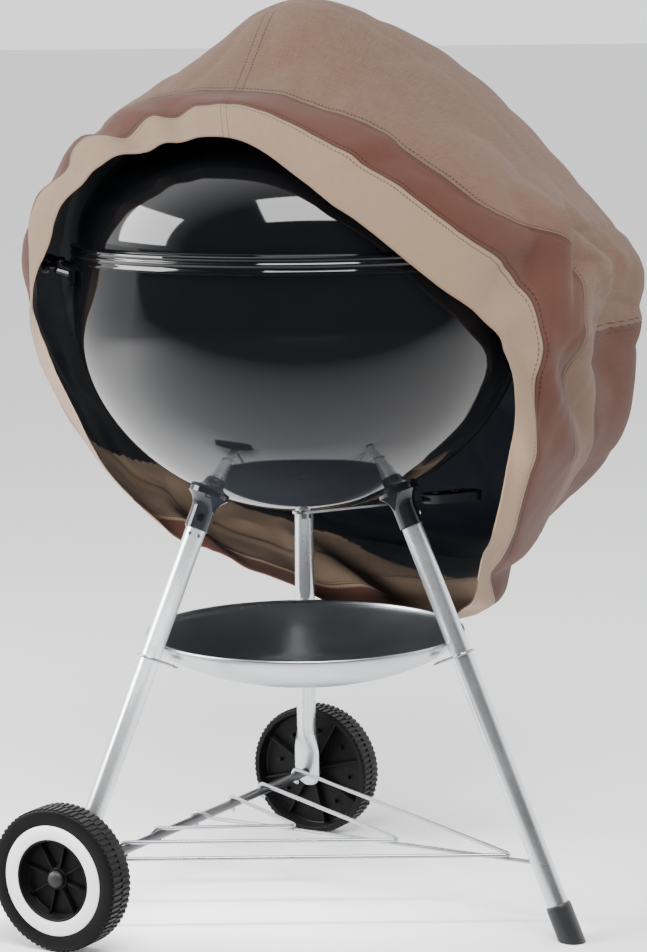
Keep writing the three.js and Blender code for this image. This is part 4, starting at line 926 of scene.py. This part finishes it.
def cloth_finish(name, dark, light, thread_colour, pitch, rough, sheen, relief_depth=0.0002,
                 thread_share=0.25, low_panel=None, gloss=0.15):
    """Coated woven polyester: thread shading, cloudy fading, seams with painted shade in their grooves,
    and stitches.
    """
    material = bpy.data.materials.new(name)
    material.use_nodes = True
    tree = material.node_tree
    shader = tree.nodes["Principled BSDF"]
    shader.inputs["Sheen Weight"].default_value = sheen
    shader.inputs["Sheen Roughness"].default_value = 0.5
    shader.inputs["Specular IOR Level"].default_value = gloss
    shader.inputs["Roughness"].default_value = rough

    def mixed(factor, first, second):
        """A colour mix, with each colour given as a socket or as three values."""
        first, second = (c if isinstance(c, bpy.types.NodeSocket) else (*c, 1) for c in (first, second))
        return add(tree, "ShaderNodeMix", data_type="RGBA", sockets={
            "Factor": factor, "A": first, "B": second}).outputs["Result"]

    cloth = add(tree, "ShaderNodeGroup", node_tree=weave, sockets={"Thread pitch": pitch})
    clouds = add(tree, "ShaderNodeGroup", node_tree=mottle, sockets={
        "Mottle scale": 5.0, "Grain scale": 60.0})
    seam = add(tree, "ShaderNodeGroup", node_tree=stitches, sockets={"Stitch length": 0.0042})
    threads = add(tree, "ShaderNodeMapRange", sockets={
        "Value": cloth.outputs["Thread"], "From Min": 0.38, "From Max": 0.62})
    blend = add(tree, "ShaderNodeMix", data_type="FLOAT", sockets={
        "Factor": thread_share, "A": clouds.outputs["Mottle"], "B": threads.outputs["Result"]})
    shade = mixed(blend.outputs["Result"], dark, light)
    if low_panel:
        mark = add(tree, "ShaderNodeAttribute", attribute_name="low_panel").outputs["Fac"]
        where = reckon(tree, "GREATER_THAN", mark, 0.0)
        shade = mixed(where, shade, mixed(blend.outputs["Result"], *low_panel))
    # Painted shade: inside the seam's groove the colour is darkened to 0.45 of the dark colour.
    colour_with_painted_groove_shade = mixed(seam.outputs["Groove"], shade, [c * 0.45 for c in dark])
    stitched = mixed(seam.outputs["Stitch"], colour_with_painted_groove_shade, thread_colour)
    tree.links.new(stitched, shader.inputs["Base Color"])
    height = reckon(tree, "MULTIPLY_ADD", seam.outputs["Stitch"], 1.5, cloth.outputs["Height"])
    height = reckon(tree, "MULTIPLY_ADD", seam.outputs["Groove"], -2.0, height)
    relief = add(tree, "ShaderNodeBump", sockets={
        "Strength": 0.5, "Distance": relief_depth, "Height": height})
    tree.links.new(relief.outputs["Normal"], shader.inputs["Normal"])
    return material


rust_dark, rust_light = paint(62, 37, 29), paint(79, 49, 39)
taupe_cloth = cloth_finish(
    "taupe woven cloth", paint(76, 57, 46), paint(101, 78, 65), paint(54, 41, 33), 0.0016, 0.88, 0.05,
    relief_depth=0.0003, thread_share=0.5, low_panel=(rust_dark, rust_light))
rust_cloth = cloth_finish(
    "rust woven cloth", rust_dark, rust_light, paint(44, 20, 14), 0.0010, 0.76, 0.05)
hem_cloth = cloth_finish(
    "beige hem cloth", paint(111, 92, 76), paint(129, 109, 91), paint(78, 63, 51), 0.0010, 0.74, 0.05)
lining_cloth = cloth_finish(
    "dark coated lining", paint(13, 16, 21), paint(24, 28, 34), paint(12, 14, 18), 0.0012, 0.40, 0.03,
    thread_share=0.3, gloss=0.5)
cover = piece_from(bm, "fabric_cover", taupe_cloth, "cover", "cover_fabric", "weather_cover")
for material in (rust_cloth, hem_cloth, lining_cloth):
    cover.data.materials.append(material)

# ---------- floor and light ----------
# A pale studio floor, painted dark in front where reflections see it, a large soft light overhead in front
# and one at each side. Two low fills reach under the bowl and into the cover's mouth.
floor_bm = bmesh.new()
bmesh.ops.create_grid(floor_bm, x_segments=2, y_segments=2, size=160.0)
floor_mesh = bpy.data.meshes.new("studio_floor")
floor_bm.to_mesh(floor_mesh)
floor_bm.free()
floor = bpy.data.objects.new("studio_floor", floor_mesh)
floor.location = (0, 0, -0.0005)
scene.collection.objects.link(floor)
floor_finish = bpy.data.materials.new("pale floor")
floor_finish.use_nodes = True
floor_shader = floor_finish.node_tree.nodes["Principled BSDF"]
# Painted reflection: for glossy rays only, the floor's colour is painted dark in front, standing for the
# unlit end of a studio.
floor_tree = floor_finish.node_tree
forward = add(floor_tree, "ShaderNodeSeparateXYZ", sockets={
    "Vector": add(floor_tree, "ShaderNodeTexCoord").outputs["Object"]})
unlit = add(floor_tree, "ShaderNodeMapRange", sockets={
    "Value": forward.outputs["Y"], "From Min": -1.5, "From Max": 0.1, "To Min": 1.0, "To Max": 0.0})
painted_dark_in_reflections = reckon(floor_tree, "MULTIPLY", unlit.outputs["Result"],
                  add(floor_tree, "ShaderNodeLightPath").outputs["Is Glossy Ray"])
floor_shade = add(floor_tree, "ShaderNodeMix", data_type="RGBA", sockets={
    "Factor": painted_dark_in_reflections, "A": (0.86, 0.86, 0.86, 1), "B": (0.03, 0.03, 0.03, 1)})
floor_tree.links.new(floor_shade.outputs["Result"], floor_shader.inputs["Base Color"])
floor_shader.inputs["Roughness"].default_value = 0.95
floor_shader.inputs["Specular IOR Level"].default_value = 0.1
floor_mesh.materials.append(floor_finish)


def soft_light(name, offset, aim, size, power, shines=True):
    """A rectangular soft light beside the grill, seen in reflections only if it shines."""
    data = bpy.data.lights.new(name, "AREA")
    data.shape, data.size, data.size_y, data.energy = "RECTANGLE", size[0], size[1], power
    lamp = bpy.data.objects.new(name, data)
    lamp.location = kettle_axis + Vector(offset)
    lamp.rotation_euler = (Vector(aim) - Vector(offset)).to_track_quat("-Z", "Y").to_euler()
    lamp.visible_glossy = shines
    lamp.visible_camera = False
    scene.collection.objects.link(lamp)


soft_light("overhead front", (0.14, -1.70, 2.80), (0, 0, 0.6), (1.9, 1.3), 120)
soft_light("left side", (-2.38, -0.22, 1.50), (-0.1, -0.1, 0.7), (1.5, 1.3), 95)
soft_light("right front", (2.4, -1.8, 1.3), (0, 0, 0.5), (0.8, 1.6), 42, shines=False)
soft_light("low front", (0.2, -2.9, 0.35), (0, 0.2, 0.4), (1.6, 0.5), 40, shines=False)
soft_light("under the kettle", (-0.14, -0.24, 0.33), (-0.10, 0.28, 0.34), (0.30, 0.06), 9, shines=False)

world = bpy.data.worlds.new("studio")
world.use_nodes = True
scene.world = world
sky = world.node_tree
background = sky.nodes["Background"]
way = add(sky, "ShaderNodeSeparateXYZ", sockets={
    "Vector": add(sky, "ShaderNodeTexCoord").outputs["Generated"]})
front_to_back = add(sky, "ShaderNodeMapRange", sockets={
    "Value": way.outputs["Y"], "From Min": -0.50, "From Max": 0.15, "To Min": 0.02, "To Max": 2.0})
seen = add(sky, "ShaderNodeLightPath")
level = add(sky, "ShaderNodeMix", data_type="FLOAT", sockets={
    "Factor": seen.outputs["Is Camera Ray"], "A": front_to_back.outputs["Result"], "B": 1.5})
sky.links.new(level.outputs["Result"], background.inputs["Strength"])
background.inputs["Color"].default_value = (1, 1, 1, 1)
